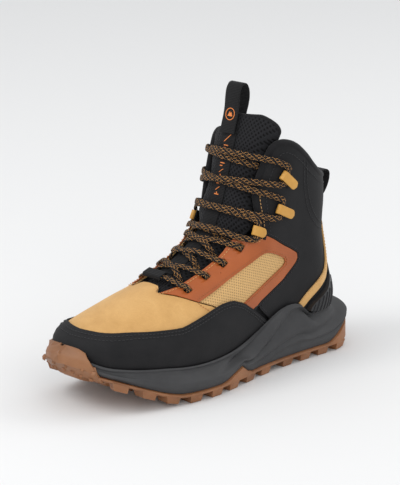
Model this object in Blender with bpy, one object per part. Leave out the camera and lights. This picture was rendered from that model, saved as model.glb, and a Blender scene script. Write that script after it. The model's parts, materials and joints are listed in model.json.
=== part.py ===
"""Left hiking boot, mid height, laced, free-standing.

Frame: toe toward -Y, the wearer's left (lateral) side toward +X, +Z up, ground at Z = 0.
All the constants are in millimetres; MM turns them into metres when a mesh is made.

The whole upper hangs on one master surface: for every point (Y, Z) of the side view it gives a
half width on each side.  Each panel is a region of that surface between two offsets, so that
neighbouring layers share their facets and never touch."""
import bpy
import numpy as np

for ob in list(bpy.data.objects):
    bpy.data.objects.remove(ob, do_unlink=True)
for c in list(bpy.data.collections):
    bpy.data.collections.remove(c)
BOOT = bpy.data.collections.new("hiking_boot")
bpy.context.scene.collection.children.link(BOOT)

MM = 0.001
ORIGIN = (1.3, 3.3, 0.0)    # the point that becomes the frame's origin, under the middle of the bounding box

# ------------------------------------------------------------------ side-view profiles (Y, Z)
TOP = [(-145, 48), (-140.3, 53.5), (-132.5, 59), (-121, 64.6), (-100, 74), (-78, 82), (-58, 87.5), (-40, 93.5),
       (-22, 101.5), (-6, 111), (4, 121), (11.5, 133), (17, 147), (21.5, 162), (26, 178), (31, 195), (36, 210),
       (42, 228), (50, 250)]
BACK = [(130, 24), (133.5, 44), (135.5, 62), (135, 78), (132.6, 92), (131, 104), (132, 116), (133.6, 128),
        (134, 140), (133, 152), (132, 165), (131, 190), (131, 215)]
TIP = [(-139, 22), (-141.5, 36), (-142.6, 44), (-142.6, 52), (-140, 70)]
FEATHER = [(-140.5, 40), (-124, 34), (-100, 28.5), (-72, 25), (-40, 24.5), (0, 27), (40, 31.5), (80, 34), (132.5, 34)]

# half widths, lateral and medial: a row per height of ZS, a column per station of YS
YS = [-150, -120, -90, -60, -30, 0, 30, 60, 90, 120, 150]
ZS = [20, 45, 70, 95, 120, 145, 170, 195, 230]
W_LATERAL = [[45, 46, 49, 51, 50, 46, 42, 40, 39.5, 38.5, 37.5],
             [46, 47, 50, 52, 51, 47, 43, 40.5, 40, 39, 38],
             [44, 46, 49, 50, 49.5, 46.5, 43.5, 41.5, 40.5, 39, 38],
             [40, 42, 44, 45, 45, 43.5, 41.5, 40, 39, 38, 37],
             [36, 37, 38, 40, 41, 41, 40, 39, 38, 37, 36],
             [35, 36, 37, 38, 39, 40, 40, 39.5, 39, 38, 37],
             [36, 36, 37, 38, 40, 41, 41.5, 41.5, 41, 40, 39],
             [38, 38, 39, 40, 41, 42, 42.5, 42.5, 42, 41, 40],
             [40, 40, 40, 40, 41, 42, 43, 43, 42.5, 42, 41]]
W_MEDIAL = [[40, 44.5, 46.5, 44, 40, 36, 34.5, 35, 36.5, 37, 37],
            [37.5, 42.5, 47, 46, 42, 38, 36, 36.5, 37.5, 38, 38],
            [36.5, 41, 45.5, 46, 44, 41, 39, 39, 39, 38.5, 38],
            [41, 43, 44, 44, 43, 41.5, 40, 39.5, 38.5, 37.5, 37],
            [36, 37, 38, 40, 41, 41, 40, 39, 38, 37, 36],
            [35, 36, 37, 38, 39, 40, 40, 39.5, 39, 38, 37],
            [36, 36, 37, 38, 40, 41, 41.5, 41.5, 41, 40, 39],
            [38, 38, 39, 40, 41, 42, 42.5, 42.5, 42, 41, 40],
            [40, 40, 40, 40, 41, 42, 43, 43, 42.5, 42, 41]]

# ------------------------------------------------------------------ layer offsets from the master surface
LINING = (-6.2, -3.6)
QUARTER = (-3.2, -2.0)
VAMP = (-3.2, -1.6)
ANKLE = (-3.2, -0.9)
FILM = (-1.6, -0.8)
MUDGUARD = (-1.2, 0.3)
HEEL = (-0.5, 0.4)
STRIPE = (-0.5, 0.7)
TONGUE_T = 4.5          # tongue thickness
TONGUE_IN = -9.4        # tongue face where it runs under the quarters
TONGUE_OUT = -2.5       # tongue face in the middle of the throat
GAP = 0.5               # between neighbouring panels

# ------------------------------------------------------------------ panel outlines in the side view (Y, Z)
FRONT_EDGE = [(-46, 87), (-24, 94), (-11, 100), (4, 109), (11, 115), (16, 117.5), (23, 116.5), (29, 113.5),
              (33, 113.5), (36, 118), (36, 125), (35, 135), (34.3, 143), (34.2, 150), (36, 159), (39, 167),
              (42, 174), (46, 182), (50, 187.5), (56, 190), (63, 189), (71, 185.5), (82, 177), (94, 166),
              (107, 157), (120, 152), (140, 149.5)]
VAMP_BACK = [(-61.5, 90), (-61.5, 84), (-52, 82), (-39, 76), (-27, 71), (-12, 60), (0, 46), (10, 20)]
ANKLE_FRONT = [(36, 118), (47, 112), (58, 105), (68, 99.5), (75, 95), (76.5, 91), (74, 87), (70, 84), (56, 75),
               (33, 65), (23, 61), (29, 55), (40, 45), (52, 30), (54, 10)]
MUD_LATERAL = [(-160, 62.5), (-119, 62.5), (-107, 63.3), (-89, 62), (-64, 61), (-42, 66), (-22, 71), (-8, 72),
               (5, 67), (21, 56), (35, 45), (47, 34), (50, 20)]
MUD_MEDIAL = [(-160, 62.5), (-119, 62.5), (-107, 59), (-89, 57), (-64, 56), (-40, 57.5), (-20, 57), (0, 52),
              (20, 43), (34, 33), (40, 20)]
WINDOW = [(-39, 76), (-20, 81.5), (-1, 88.5), (18, 95.5), (35, 102), (41, 101.5), (52, 97), (60, 92.5),
          (60.5, 88), (42, 80.5), (22, 72.5), (5, 66), (-10, 62), (-30, 68)]
STRIPE_FRONT = [(60, 38), (72.5, 47), (85, 57), (98, 64.5), (111, 71.5), (116, 79), (119.3, 89), (121.7, 101),
                (124.5, 109), (129, 112.5), (150, 114)]
STRIPE_BACK = [(74, 38), (82, 46), (90, 51.5), (101, 57.5), (114, 64.5), (120.5, 73), (124.2, 87), (126, 98),
               (128, 104), (131, 106.5), (150, 107)]

# ------------------------------------------------------------------ sole
SOLE_TOP = [(-145, 47), (-136, 43), (-127, 38.5), (-113, 36), (-86, 33), (-66, 30), (-48, 28.5), (-25, 28.5),
            (-5, 30.5), (15, 37), (35, 45), (48, 50), (60, 52.5), (72, 51.5), (79, 48.5), (85, 41.5), (95, 39.5),
            (115, 39.5), (140, 42)]
GROUND = [(-150, 34), (-143, 30), (-132, 23), (-118, 17.5), (-100, 10), (-85, 4.2), (-72, 0.8), (-62, 0),
          (125, 0), (140, 2.0), (150, 5), (160, 9)]
SOLE_LAT = [(-147, 39), (-120, 46), (-95, 52), (-65, 57), (-35, 58.5), (-5, 54.5), (25, 49), (55, 46), (90, 45.5),
            (125, 46), (158, 44)]
SOLE_MED = [(-147, 37.5), (-120, 45.5), (-95, 51.5), (-65, 53), (-35, 48.5), (-5, 43), (25, 40.5), (55, 41),
            (90, 43), (125, 43), (158, 41)]
SOLE_FRONT, SOLE_BACK = -145.5, 155.5
LUG = 5.0               # lug height
PLATE = 3.2             # outsole plate above the lugs


# ------------------------------------------------------------------ numeric helpers
def spline(pts, n):
    """Catmull-Rom through the points, resampled to n points at even steps."""
    P = np.asarray(pts, float)
    P = np.vstack([2 * P[0] - P[1], P, 2 * P[-1] - P[-2]])
    t = np.linspace(0, 1, 24, endpoint=False)[:, None]
    out = []
    for i in range(1, len(P) - 2):
        p0, p1, p2, p3 = P[i - 1:i + 3]
        d1, d2, d3 = [max(np.linalg.norm(b - a), 1e-9) ** 0.5 for a, b in ((p0, p1), (p1, p2), (p2, p3))]
        m1 = (p2 - p1) + d2 * ((p1 - p0) / d1 - (p2 - p0) / (d1 + d2))
        m2 = (p2 - p1) + d2 * ((p3 - p2) / d3 - (p3 - p1) / (d2 + d3))
        out.append((2 * t**3 - 3 * t**2 + 1) * p1 + (t**3 - 2 * t**2 + t) * m1 + (-2 * t**3 + 3 * t**2) * p2 + (t**3 - t**2) * m2)
    out.append(P[-2][None])
    Q = np.vstack(out)
    return resample(Q, np.linspace(0, 1, n))


def resample(Q, f):
    L = np.concatenate([[0], np.cumsum(np.linalg.norm(np.diff(Q, axis=0), axis=1))])
    return np.stack([np.interp(np.asarray(f) * L[-1], L, Q[:, k]) for k in range(Q.shape[1])], -1)


def pdist(poly, Y, Z, arc=False):
    """Distance to an open polyline, positive on its right; with arc, also the arc length of the nearest point."""
    poly = np.asarray(poly, float)
    a, d = poly[:-1], np.diff(poly, axis=0)
    L2 = (d**2).sum(1)
    S = np.concatenate([[0], np.cumsum(np.sqrt(L2))])
    P = np.stack([np.asarray(Y, float), np.asarray(Z, float)], -1)
    best = np.full(P.shape[:-1], 1e18)
    sg = np.ones(P.shape[:-1])
    sa = np.zeros(P.shape[:-1])
    for i in range(len(a)):
        v = P - a[i]
        t = np.clip((v @ d[i]) / L2[i], 0, 1)
        q = ((v - t[..., None] * d[i]) ** 2).sum(-1)
        c = d[i][0] * v[..., 1] - d[i][1] * v[..., 0]
        m = q < best
        best, sg = np.where(m, q, best), np.where(m, np.where(c > 0, -1.0, 1.0), sg)
        sa = np.where(m, S[i] + t * np.sqrt(L2[i]), sa)
    D = np.sqrt(best) * sg
    return (D, sa) if arc else D


def spoly(poly, Y, Z):
    """Distance to a closed polygon, positive inside."""
    poly = np.asarray(poly, float)
    loop = np.vstack([poly, poly[:1]])
    D = np.abs(pdist(loop, Y, Z))
    inside = np.zeros(np.shape(Y), bool)
    for (y0, z0), (y1, z1) in zip(loop[:-1], loop[1:]):
        if z0 == z1:
            continue
        hit = ((z0 > Z) != (z1 > Z)) & (Y < (y1 - y0) * (Z - z0) / (z1 - z0) + y0)
        inside ^= hit
    return np.where(inside, D, -D)


def cubic(xs, ys, x):
    xs, ys = np.asarray(xs, float), np.asarray(ys, float)
    x = np.clip(x, xs[0], xs[-1])
    i = np.clip(np.searchsorted(xs, x, side="right") - 1, 0, len(xs) - 2)
    m = np.gradient(ys, xs)
    h = xs[i + 1] - xs[i]
    t = (x - xs[i]) / h
    return (2 * t**3 - 3 * t**2 + 1) * ys[i] + (t**3 - 2 * t**2 + t) * h * m[i] + (-2 * t**3 + 3 * t**2) * ys[i + 1] + (t**3 - t**2) * h * m[i + 1]


def cubic2(T, Y, Z):
    rows = np.stack([cubic(YS, r, Y) for r in T], -1)
    zs = np.asarray(ZS, float)
    Z = np.clip(Z, zs[0], zs[-1])
    i = np.clip(np.searchsorted(zs, Z, side="right") - 1, 0, len(zs) - 2)
    m = np.gradient(rows, zs, axis=-1)
    h = zs[i + 1] - zs[i]
    t = (Z - zs[i]) / h

    def at(A, j):
        return np.take_along_axis(A, j[..., None], -1)[..., 0]

    return (2 * t**3 - 3 * t**2 + 1) * at(rows, i) + (t**3 - 2 * t**2 + t) * h * at(m, i) + (-2 * t**3 + 3 * t**2) * at(rows, i + 1) + (t**3 - t**2) * h * at(m, i + 1)


def smooth(x, a, b):
    t = np.clip((x - a) / (b - a), 0, 1)
    return t * t * (3 - 2 * t)


# ------------------------------------------------------------------ master surface
top, back, tip, feather = spline(TOP, 150), spline(BACK, 70), spline(TIP, 24), spline(FEATHER, 80)


def centre(Y):
    """Sweep of the foot's centre line toward the medial side at the toe."""
    return cubic([-160, -140, -110, -80, -50, 0, 150], [-10, -8.5, -5.5, -2.5, -0.5, 0, 0], Y)


def feather_z(Y):
    return np.interp(Y, feather[:, 0], feather[:, 1])


def width(Y, Z, side):
    Y, Z = np.asarray(Y, float), np.asarray(Z, float)
    w = cubic2(W_LATERAL if side > 0 else W_MEDIAL, Y, Z)
    dt, db, dp = pdist(top, Y, Z), -pdist(back, Y, Z), -pdist(tip[::-1], Y, Z)
    rt = cubic([-150, -140, -128, -116, -104, -90, -50, -20, 0, 20, 50], [13, 14, 17, 21.5, 28, 36, 44, 47, 47, 46, 46], Y)
    rb = cubic([20, 60, 90, 120, 150, 180, 230], [36, 38, 38, 40, 46, 48, 48], Z)
    at, ab, ap = np.clip(1 - dt / rt, 0, None), np.clip(1 - db / rb, 0, None), np.clip(1 - dp / 50.0, 0, None)
    low = np.clip(1 - (Z - feather_z(Y)) / 13.0, 0, 1.3)
    nose = (at**6.6 + ap**6.3) ** (1 / 3)
    return w * np.sqrt(np.clip(1 - nose - ab**2.1, 0, None)) * (1 - 0.075 * low**2)


NV, NU = 13, 18         # rings from the feather line up, columns from toe to heel on each side


def sagittal_grid():
    front = np.vstack([[(-141.4, 40)], [(-141.8, 44)], [(-140.8, 48.5)], [(-138.0, 53)], top[top[:, 0] > -134]])
    front = front[front[:, 1] <= 225]
    rear = back[(back[:, 1] >= 34) & (back[:, 1] <= 162)]
    v = np.linspace(0, 1, NV + 1)
    F, B = resample(front, v * 0.82 + 0.18 * v**2), resample(rear, v)
    th = np.linspace(0, 1, NU + 1)
    t = 0.25 * th + 0.75 * (1 - np.cos(np.pi * th)) / 2
    G = F[:, None] * (1 - t)[None, :, None] + B[:, None] * t[None, :, None]
    sag = feather_z(G[0, :, 0]) - G[0, :, 1]
    sag[0] = sag[-1] = 0
    G[:, :, 1] += sag[None, :] * ((1 - v) ** 2.0)[:, None]
    return G


class Sheet:
    """A triangulated piece of the master surface: points P, offset directions N, triangles T."""

    def __init__(self, P, N, T):
        self.P, self.N, self.T = P, N, T

    def fields(self):
        X, Y, Z = self.P.T
        return X - centre(Y), Y, Z

    def split(self):
        """Each triangle into four, in its own plane."""
        E = np.sort(np.concatenate([self.T[:, [0, 1]], self.T[:, [1, 2]], self.T[:, [2, 0]]]), axis=1)
        U, inv = np.unique(E, axis=0, return_inverse=True)
        inv = inv.reshape(-1) + len(self.P)
        n = len(self.T)
        a, b, c = self.T.T
        ab, bc, ca = inv[:n], inv[n:2 * n], inv[2 * n:]
        T = np.concatenate([np.stack(k, 1) for k in ((a, ab, ca), (b, bc, ab), (c, ca, bc), (ab, bc, ca))])
        return Sheet(np.vstack([self.P, self.P[U].mean(1)]), np.vstack([self.N, self.N[U].mean(1)]), T)

    def clip(self, f):
        """The part where f is positive."""
        f = np.where(np.abs(f) < 0.04, np.where(f < 0, -0.04, 0.04), f)
        s = f[self.T] > 0
        keep = [self.T[s.all(1)]]
        P, N, new = [self.P], [self.N], {}
        n0 = len(self.P)

        def cut(i, j):
            k = (min(i, j), max(i, j))
            if k not in new:
                i, j = k
                t = f[i] / (f[i] - f[j])
                new[k] = n0 + len(new)
                P.append((self.P[i] + t * (self.P[j] - self.P[i]))[None])
                N.append((self.N[i] + t * (self.N[j] - self.N[i]))[None])
            return new[k]

        extra = []
        for tri, sign in zip(self.T[s.any(1) & ~s.all(1)], s[s.any(1) & ~s.all(1)]):
            if sign.sum() == 1:
                k = int(np.argmax(sign))
                a, b, c = tri[k], tri[(k + 1) % 3], tri[(k + 2) % 3]
                extra.append((a, cut(a, b), cut(a, c)))
            else:
                k = int(np.argmin(sign))
                a, b, c = tri[k], tri[(k + 1) % 3], tri[(k + 2) % 3]
                ab, ac = cut(a, b), cut(a, c)
                extra += [(b, c, ab), (c, ac, ab)]
        T = np.concatenate(keep + ([np.array(extra)] if extra else []))
        P, N = np.vstack(P), np.vstack(N)
        used = np.unique(T)
        m = np.full(len(P), -1)
        m[used] = np.arange(len(used))
        return Sheet(P[used], N[used], m[T])

    def biggest(self):
        """Only the largest connected piece."""
        lab = np.arange(len(self.P))
        while True:
            low = lab[self.T].min(1)
            new = lab.copy()
            for k in range(3):
                np.minimum.at(new, self.T[:, k], low)
            new = new[new]
            if (new == lab).all():
                break
            lab = new
        ids, cnt = np.unique(lab[self.T[:, 0]], return_counts=True)
        T = self.T[lab[self.T[:, 0]] == ids[np.argmax(cnt)]]
        used = np.unique(T)
        m = np.full(len(self.P), -1)
        m[used] = np.arange(len(used))
        return Sheet(self.P[used], self.N[used], m[T])

    def thick(self, low, high):
        """Closed mesh between the two offsets (numbers or one per point)."""
        low, high = [np.broadcast_to(np.asarray(v, float), (len(self.P),))[:, None] for v in (low, high)]
        V = np.vstack([self.P + self.N * high, self.P + self.N * low])
        n = len(self.P)
        E = np.concatenate([self.T[:, [0, 1]], self.T[:, [1, 2]], self.T[:, [2, 0]]])
        key = np.sort(E, axis=1)
        _, inv, cnt = np.unique(key, axis=0, return_inverse=True, return_counts=True)
        B = E[cnt[inv.reshape(-1)] == 1]
        walls = np.concatenate([np.stack([B[:, 1], B[:, 0], B[:, 0] + n], 1), np.stack([B[:, 1], B[:, 0] + n, B[:, 1] + n], 1)])
        return V, np.concatenate([self.T, self.T[:, ::-1] + n, walls])


def master():
    G = sagittal_grid()
    ids = {}
    P = []
    for side in (1, -1):
        w = width(G[..., 0], G[..., 1], side)
        w[:, 0] = w[:, -1] = 0
        for i in range(NV + 1):
            for j in range(NU + 1):
                if side < 0 and j in (0, NU):
                    ids[side, i, j] = ids[1, i, j]
                    continue
                ids[side, i, j] = len(P)
                P.append((centre(G[i, j, 0]) + side * w[i, j], G[i, j, 0], G[i, j, 1]))
    P = np.array(P, float)
    T = []
    for side in (1, -1):
        for i in range(NV):
            for j in range(NU):
                q = [ids[side, i, j], ids[side, i, j + 1], ids[side, i + 1, j + 1], ids[side, i + 1, j]]
                q = q if side > 0 else q[::-1]
                T += [(q[0], q[1], q[2]), (q[0], q[2], q[3])]
    T = np.array(T)
    N = np.zeros_like(P)
    fn = np.cross(P[T[:, 1]] - P[T[:, 0]], P[T[:, 2]] - P[T[:, 0]])
    for k in range(3):
        np.add.at(N, T[:, k], fn)
    N /= np.linalg.norm(N, axis=1, keepdims=True)
    foot = [ids[side, 0, j] for side in (1, -1) for j in range(NU + 1)]
    N[foot, 2] = 0
    N /= np.linalg.norm(N, axis=1, keepdims=True)
    return Sheet(P, N, T)


BASE = master()
HALF = BASE.split()
FINE = HALF.split()


# ------------------------------------------------------------------ regions, in mm of distance, positive inside
def throat_half(Y):
    return np.interp(Y, [-62, -46, -24, -11, 4, 12], [17, 21, 22.5, 23.5, 25, 25.5])


shell_poly = [(-46, -40)] + FRONT_EDGE + [(160, 149), (160, -40)]


def in_shell(X, Y, Z):
    """Where the quarters and the lining are: outside the throat, below the top line."""
    x = np.abs(X)
    base = -55.5 - 6 * np.clip((x - 9) / 8, 0, 1)
    low = np.maximum(x - throat_half(Y), base - Y)
    high = spoly(shell_poly, Y, Z)
    k = smooth(Y, -2, 8)
    return np.where(Z < 60, 30.0, (1 - k) * np.clip(low, -30, 30) + k * np.clip(high, -30, 30))


def behind(line, Y, Z):
    """Positive on the heel side of a line drawn from the top down."""
    return -pdist(line, Y, Z)


def in_mudguard(X, Y, Z):
    return np.where(X > 0, pdist(MUD_LATERAL, Y, Z), pdist(MUD_MEDIAL, Y, Z))


def ankle_field(Y, Z):
    line = [(36, 300)] + ANKLE_FRONT
    return behind(line, Y, Z)


def tongue_face(S):
    """Offset of the tongue's outer face: proud in the throat, deep under the quarters."""
    X, Y, Z = S.fields()
    return TONGUE_IN + (TONGUE_OUT - TONGUE_IN) * smooth(-in_shell(X, Y, Z), -1.0, 15.0)


top_line = top


def along(Y, Z):
    return pdist(top_line, Y, Z, arc=True)[1]


# ------------------------------------------------------------------ objects and materials
def material(name, colour, rough=0.6, metal=0.0):
    m = bpy.data.materials.new(name)
    m.use_nodes = True
    b = m.node_tree.nodes["Principled BSDF"]
    b.inputs["Base Color"].default_value = (*colour, 1)
    b.inputs["Roughness"].default_value = rough
    b.inputs["Metallic"].default_value = metal
    return m


SUEDE = material("wheat_suede", (0.62, 0.36, 0.13), 0.9)
BLACK = material("black_nubuck", (0.022, 0.021, 0.023), 0.75)
MESH = material("tan_mesh", (0.55, 0.33, 0.12), 0.8)
BROWN = material("brown_film", (0.42, 0.14, 0.045), 0.4)
KNIT = material("black_knit", (0.018, 0.018, 0.02), 0.85)
EVA = material("grey_foam", (0.05, 0.052, 0.056), 0.65)
TPU = material("grey_tpu", (0.04, 0.041, 0.045), 0.45)
RUBBER = material("gum_rubber", (0.3, 0.12, 0.055), 0.55)
WEB = material("black_webbing", (0.02, 0.02, 0.022), 0.8)
TAN = material("tan_coated", (0.55, 0.29, 0.05), 0.5)
CORD = material("black_lace", (0.03, 0.027, 0.025), 0.8)
BOARD = material("grey_board", (0.25, 0.24, 0.22), 0.9)


def make(name, V, F, mat):
    me = bpy.data.meshes.new(name)
    me.from_pydata([tuple(v) for v in (np.asarray(V, float) - ORIGIN) * MM], [], [tuple(int(i) for i in f) for f in F])
    me.validate()
    me.materials.append(mat)
    ob = bpy.data.objects.new(name, me)
    BOOT.objects.link(ob)
    return ob


def panel(name, sheet, offsets, mat):
    V, F = sheet.biggest().thick(*offsets)
    return make(name, V, F, mat)


def cutter(name, V, F):
    ob = make(name, V, F, BLACK)
    ob.hide_render = True
    ob.display_type = "WIRE"
    return ob


def boolean(ob, other, op):
    m = ob.modifiers.new(op.lower() + "_" + other.name, "BOOLEAN")
    m.operation, m.solver, m.object = op, "EXACT", other
    return m


def prism(profile, origin, u, n, t, half):
    """Extrudes a closed profile of (u, n) points by half to each side along t."""
    origin, u, n, t = [np.asarray(v, float) for v in (origin, u, n, t)]
    a = np.array([origin + p * u + q * n - half * t for p, q in profile])
    b = a + 2 * half * t
    k = len(profile)
    F = [list(range(k))[::-1], [k + i for i in range(k)]] + [[i, (i + 1) % k, k + (i + 1) % k, k + i] for i in range(k)]
    V = np.vstack([a, b])
    # facing out: the profile's turn and the frame's hand decide the order
    area = 0.5 * sum(profile[i][0] * profile[(i + 1) % k][1] - profile[(i + 1) % k][0] * profile[i][1] for i in range(k))
    if area * np.dot(np.cross(u, n), t) < 0:
        F = [f[::-1] for f in F]
    return V, F


# ------------------------------------------------------------------ sole
def plan_half(Y, side, grow=0.0):
    tab = np.array(SOLE_LAT if side > 0 else SOLE_MED, float)
    w = cubic(tab[:, 0], tab[:, 1], Y) + grow
    af = np.clip(1 - (Y - (SOLE_FRONT - grow)) / 40.0, 0, None)
    ab = np.clip(1 - ((SOLE_BACK + grow) - Y) / 36.0, 0, None)
    return w * np.sqrt(np.clip(1 - af**2.4 - ab**2.3, 0, None))


def ground_z(Y):
    g = np.array(GROUND, float)
    return np.interp(Y, g[:, 0], g[:, 1])


def sole_top_z(Y):
    g = spline(SOLE_TOP, 120)
    return np.interp(Y, g[:, 0], g[:, 1])


K = 26                   # stations on each side of a sole ring
th = np.linspace(0, 1, K + 1)
STATION = 0.04 * th + 0.96 * (1 - np.cos(np.pi * th)) / 2


def closed_ring(half, zfun, y0, y1, stations=None):
    """Ring of points: lateral side from toe to heel, then medial side back."""
    Y = y0 + (y1 - y0) * (STATION if stations is None else stations)
    L, M = half(Y, 1), half(Y, -1)
    L[0] = L[-1] = M[0] = M[-1] = 0
    lat = np.stack([centre(Y) + L, Y, zfun(Y)], 1)
    med = np.stack([centre(Y) - M, Y, zfun(Y)], 1)
    return np.vstack([lat, med[-2:0:-1]])


def plan_ring(grow, zfun, stations=None):
    """Ring on the sole's plan outline, grown outward."""
    return closed_ring(lambda Y, s: plan_half(Y, s, grow), zfun, SOLE_FRONT - grow, SOLE_BACK + grow, stations)


def upper_ring(grow, zfun, y0, y1, stations=None):
    """Ring round the upper at a height, grown outward by so many mm."""
    R = closed_ring(lambda Y, s: width(Y, zfun(Y), s), zfun, y0, y1, stations)
    n = len(R)
    d = R[(np.arange(n) + 1) % n] - R[(np.arange(n) - 1) % n]
    out = np.stack([d[:, 1], -d[:, 0]], 1)
    flat = np.linalg.norm(out, axis=1) < 1e-6
    out[flat] = (0, -1)
    out /= np.linalg.norm(out, axis=1, keepdims=True)
    R[:, :2] += out * (grow(R[:, 1])[:, None] if callable(grow) else grow)
    return R


def dropped(ring, by):
    ring[:, 2] -= by
    return ring


def cap(base, flip):
    """Quads across a ring, lateral to medial, at equal stations."""
    n = 2 * K
    F = []
    for k in range(K):
        a, b, c, d = k, k + 1, (n - k - 1) % n, (n - k) % n
        f = [a, b, c, d]
        f = [i for m, i in enumerate(f) if i not in f[:m]]
        F.append([base + i for i in (f if flip else f[::-1])])
    return F


def loft(rings, bottom_first=True):
    """Closed body through the rings, capped at both ends."""
    n = len(rings[0])
    V = np.vstack(rings)
    F = []
    for r in range(len(rings) - 1):
        for k in range(n):
            F.append([r * n + k, r * n + (k + 1) % n, (r + 1) * n + (k + 1) % n, (r + 1) * n + k])
    F += cap(0, False) + cap((len(rings) - 1) * n, True)
    return V, F


def interface_z(Y):
    """Top of the outsole rubber at the side: it climbs at the midfoot and behind the heel."""
    mid = 8.0 * np.clip(1 - np.where(Y < -2, (-2 - Y) / 24.0, (Y + 2) / 10.0), 0, 1)
    heel = 9.0 * smooth(Y, 118, 146)
    return ground_z(Y) + LUG + PLATE + mid + heel


def blendz(f, lift=0.0):
    """A height between the rubber line and the sole's top edge."""
    return lambda Y: (1 - f) * interface_z(Y) + f * sole_top_z(Y) + lift


y_top0, y_top1 = -142.6, 133.4
lip = lambda Y: 3.4 + 3.6 * smooth(Y, 90, 130)
rings = [plan_ring(-2.6, lambda Y: interface_z(Y) + 0.4),
         plan_ring(-0.4, blendz(0.22)),
         plan_ring(-0.6, blendz(0.45)),
         upper_ring(lambda Y: lip(Y) + 0.8, lambda Y: sole_top_z(Y) - 5.0, y_top0 + 0.5, y_top1 - 0.4),
         upper_ring(lambda Y: lip(Y), lambda Y: sole_top_z(Y) - 1.0, y_top0, y_top1),
         upper_ring(lambda Y: lip(Y) - 1.2, sole_top_z, y_top0, y_top1),
         upper_ring(1.4, sole_top_z, y_top0, y_top1),
         upper_ring(1.4, lambda Y: feather_z(Y) + 2.0, -142.0, 132.6),
         dropped(upper_ring(1.2, lambda Y: feather_z(Y) + 1.0, -142.0, 132.6), 4.1)]
# the inner rings run back down, so the upper end cap closes the cup's floor
midsole = make("midsole", *loft(rings), EVA)

plate_V, plate_F = loft([plan_ring(-2.4, lambda Y: ground_z(Y) + LUG), plan_ring(-0.8, lambda Y: ground_z(Y) + LUG + 1.2),
                         plan_ring(-1.0, lambda Y: interface_z(Y) - 0.8), plan_ring(-2.4, interface_z)])
outsole = make("outsole", plate_V, plate_F, RUBBER)


def join(parts):
    V, F, n = [], [], 0
    for v, f in parts:
        V.append(np.asarray(v, float))
        F += [[i + n for i in q] for q in f]
        n += len(v)
    return np.vstack(V), F


def lug(cx, cy, wx, wy, turn, taper=0.75, tall=LUG):
    """A tapered block that stands down from the plate."""
    c, s = np.cos(np.radians(turn)), np.sin(np.radians(turn))
    V = []
    for f, dz in ((taper, 0.0), (1.0, tall + 1.2)):
        for px, py in ((-1, -1), (1, -1), (1, 1), (-1, 1)):
            x, y = px * wx * f / 2, py * wy * f / 2
            X, Y = cx + c * x - s * y, cy + s * x + c * y
            V.append((X, Y, ground_z(Y) + dz + (LUG - tall)))
    F = [[3, 2, 1, 0], [4, 5, 6, 7]] + [[i, (i + 1) % 4, 4 + (i + 1) % 4, 4 + i] for i in range(4)]
    return V, F


lugs = []
for i, y in enumerate([-118, -98, -78, -57, -36, -15, 8, 30, 60, 82, 104, 125]):
    wl, wm = plan_half(np.array([y]), 1)[0], plan_half(np.array([y]), -1)[0]
    cx = float(centre(y))
    a = np.degrees(np.arctan2(plan_half(np.array([y + 8.0]), 1)[0] - plan_half(np.array([y - 8.0]), 1)[0], 16.0))
    b = np.degrees(np.arctan2(plan_half(np.array([y + 8.0]), -1)[0] - plan_half(np.array([y - 8.0]), -1)[0], 16.0))
    lugs.append(lug(cx + wl - 9.2, y, 16, 13, -a, 0.8))
    lugs.append(lug(cx - wm + 9.2, y, 16, 13, b, 0.8))
for y in [-126, -108, -88, -67, -46, -25]:
    cx = float(centre(y))
    lugs.append(lug(cx + (2 if y != -126 else 0), y, 26 if y != -126 else 20, 10, 0, 0.7))
for y in [48, 71, 93, 115]:
    lugs.append(lug(0, y, 22, 9, 0, 0.7))
lugs.append(lug(float(centre(-137)) + 1, -136.5, 26, 9, 0, 0.7))
lugs.append(lug(0, 146, 30, 9, 0, 0.7))
blocks = cutter("outsole_lugs", *join(lugs))
boolean(outsole, blocks, "UNION")


def toe_bumper():
    """The rubber that wraps up in front of the toe, outside the foam, with a slanted end on each side."""
    wall = [plan_ring(-6.0, lambda Y: ground_z(Y) + LUG + 0.8)] + rings[:5]
    wall += [upper_ring(lambda Y: lip(Y) - 0.7, lambda Y: sole_top_z(Y) + 0.8, y_top0, y_top1),
             upper_ring(1.2, lambda Y: sole_top_z(Y) + 2.8, y_top0, y_top1),
             upper_ring(0.9, lambda Y: sole_top_z(Y) + 8.0, y_top0, y_top1)]
    n = len(wall[0])
    P = np.vstack(wall)
    T = []
    for r in range(len(wall) - 1):
        for k in range(n):
            a, b, c, d = r * n + k, r * n + (k + 1) % n, (r + 1) * n + (k + 1) % n, (r + 1) * n + k
            T += [(a, b, c), (a, c, d)]
    T = np.array(T)
    N = np.zeros_like(P)
    fn = np.cross(P[T[:, 1]] - P[T[:, 0]], P[T[:, 2]] - P[T[:, 0]])
    for k in range(3):
        np.add.at(N, T[:, k], fn)
    N /= np.maximum(np.linalg.norm(N, axis=1, keepdims=True), 1e-9)
    plan = wall[3]
    half = n // 2
    line = np.vstack([plan[half + 6:], plan[:half - 6]])
    tip_arc = np.linalg.norm(np.diff(np.vstack([plan[half + 6:], plan[:1]])[:, :2], axis=0), axis=1).sum()
    S = Sheet(P, N, T)
    around = pdist(line[:, :2], P[:, 0], P[:, 1], arc=True)[1] - tip_arc
    rise = np.clip((P[:, 2] - interface_z(P[:, 1])) / 12.0, -0.4, 1.2)
    top_edge = 52.2 - 0.16 * np.clip(P[:, 1] + 140, 0, None)
    f = np.minimum(np.minimum(36 - 11 * rise - around, around + 60 - 11 * rise), top_edge - P[:, 2])
    S = S.clip(f).biggest()
    return S.thick(0.35, 1.6 + 0.9 * smooth(-S.P[:, 2], -50, -40))


bumper = cutter("outsole_toe", *toe_bumper())
boolean(outsole, bumper, "UNION")


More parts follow.
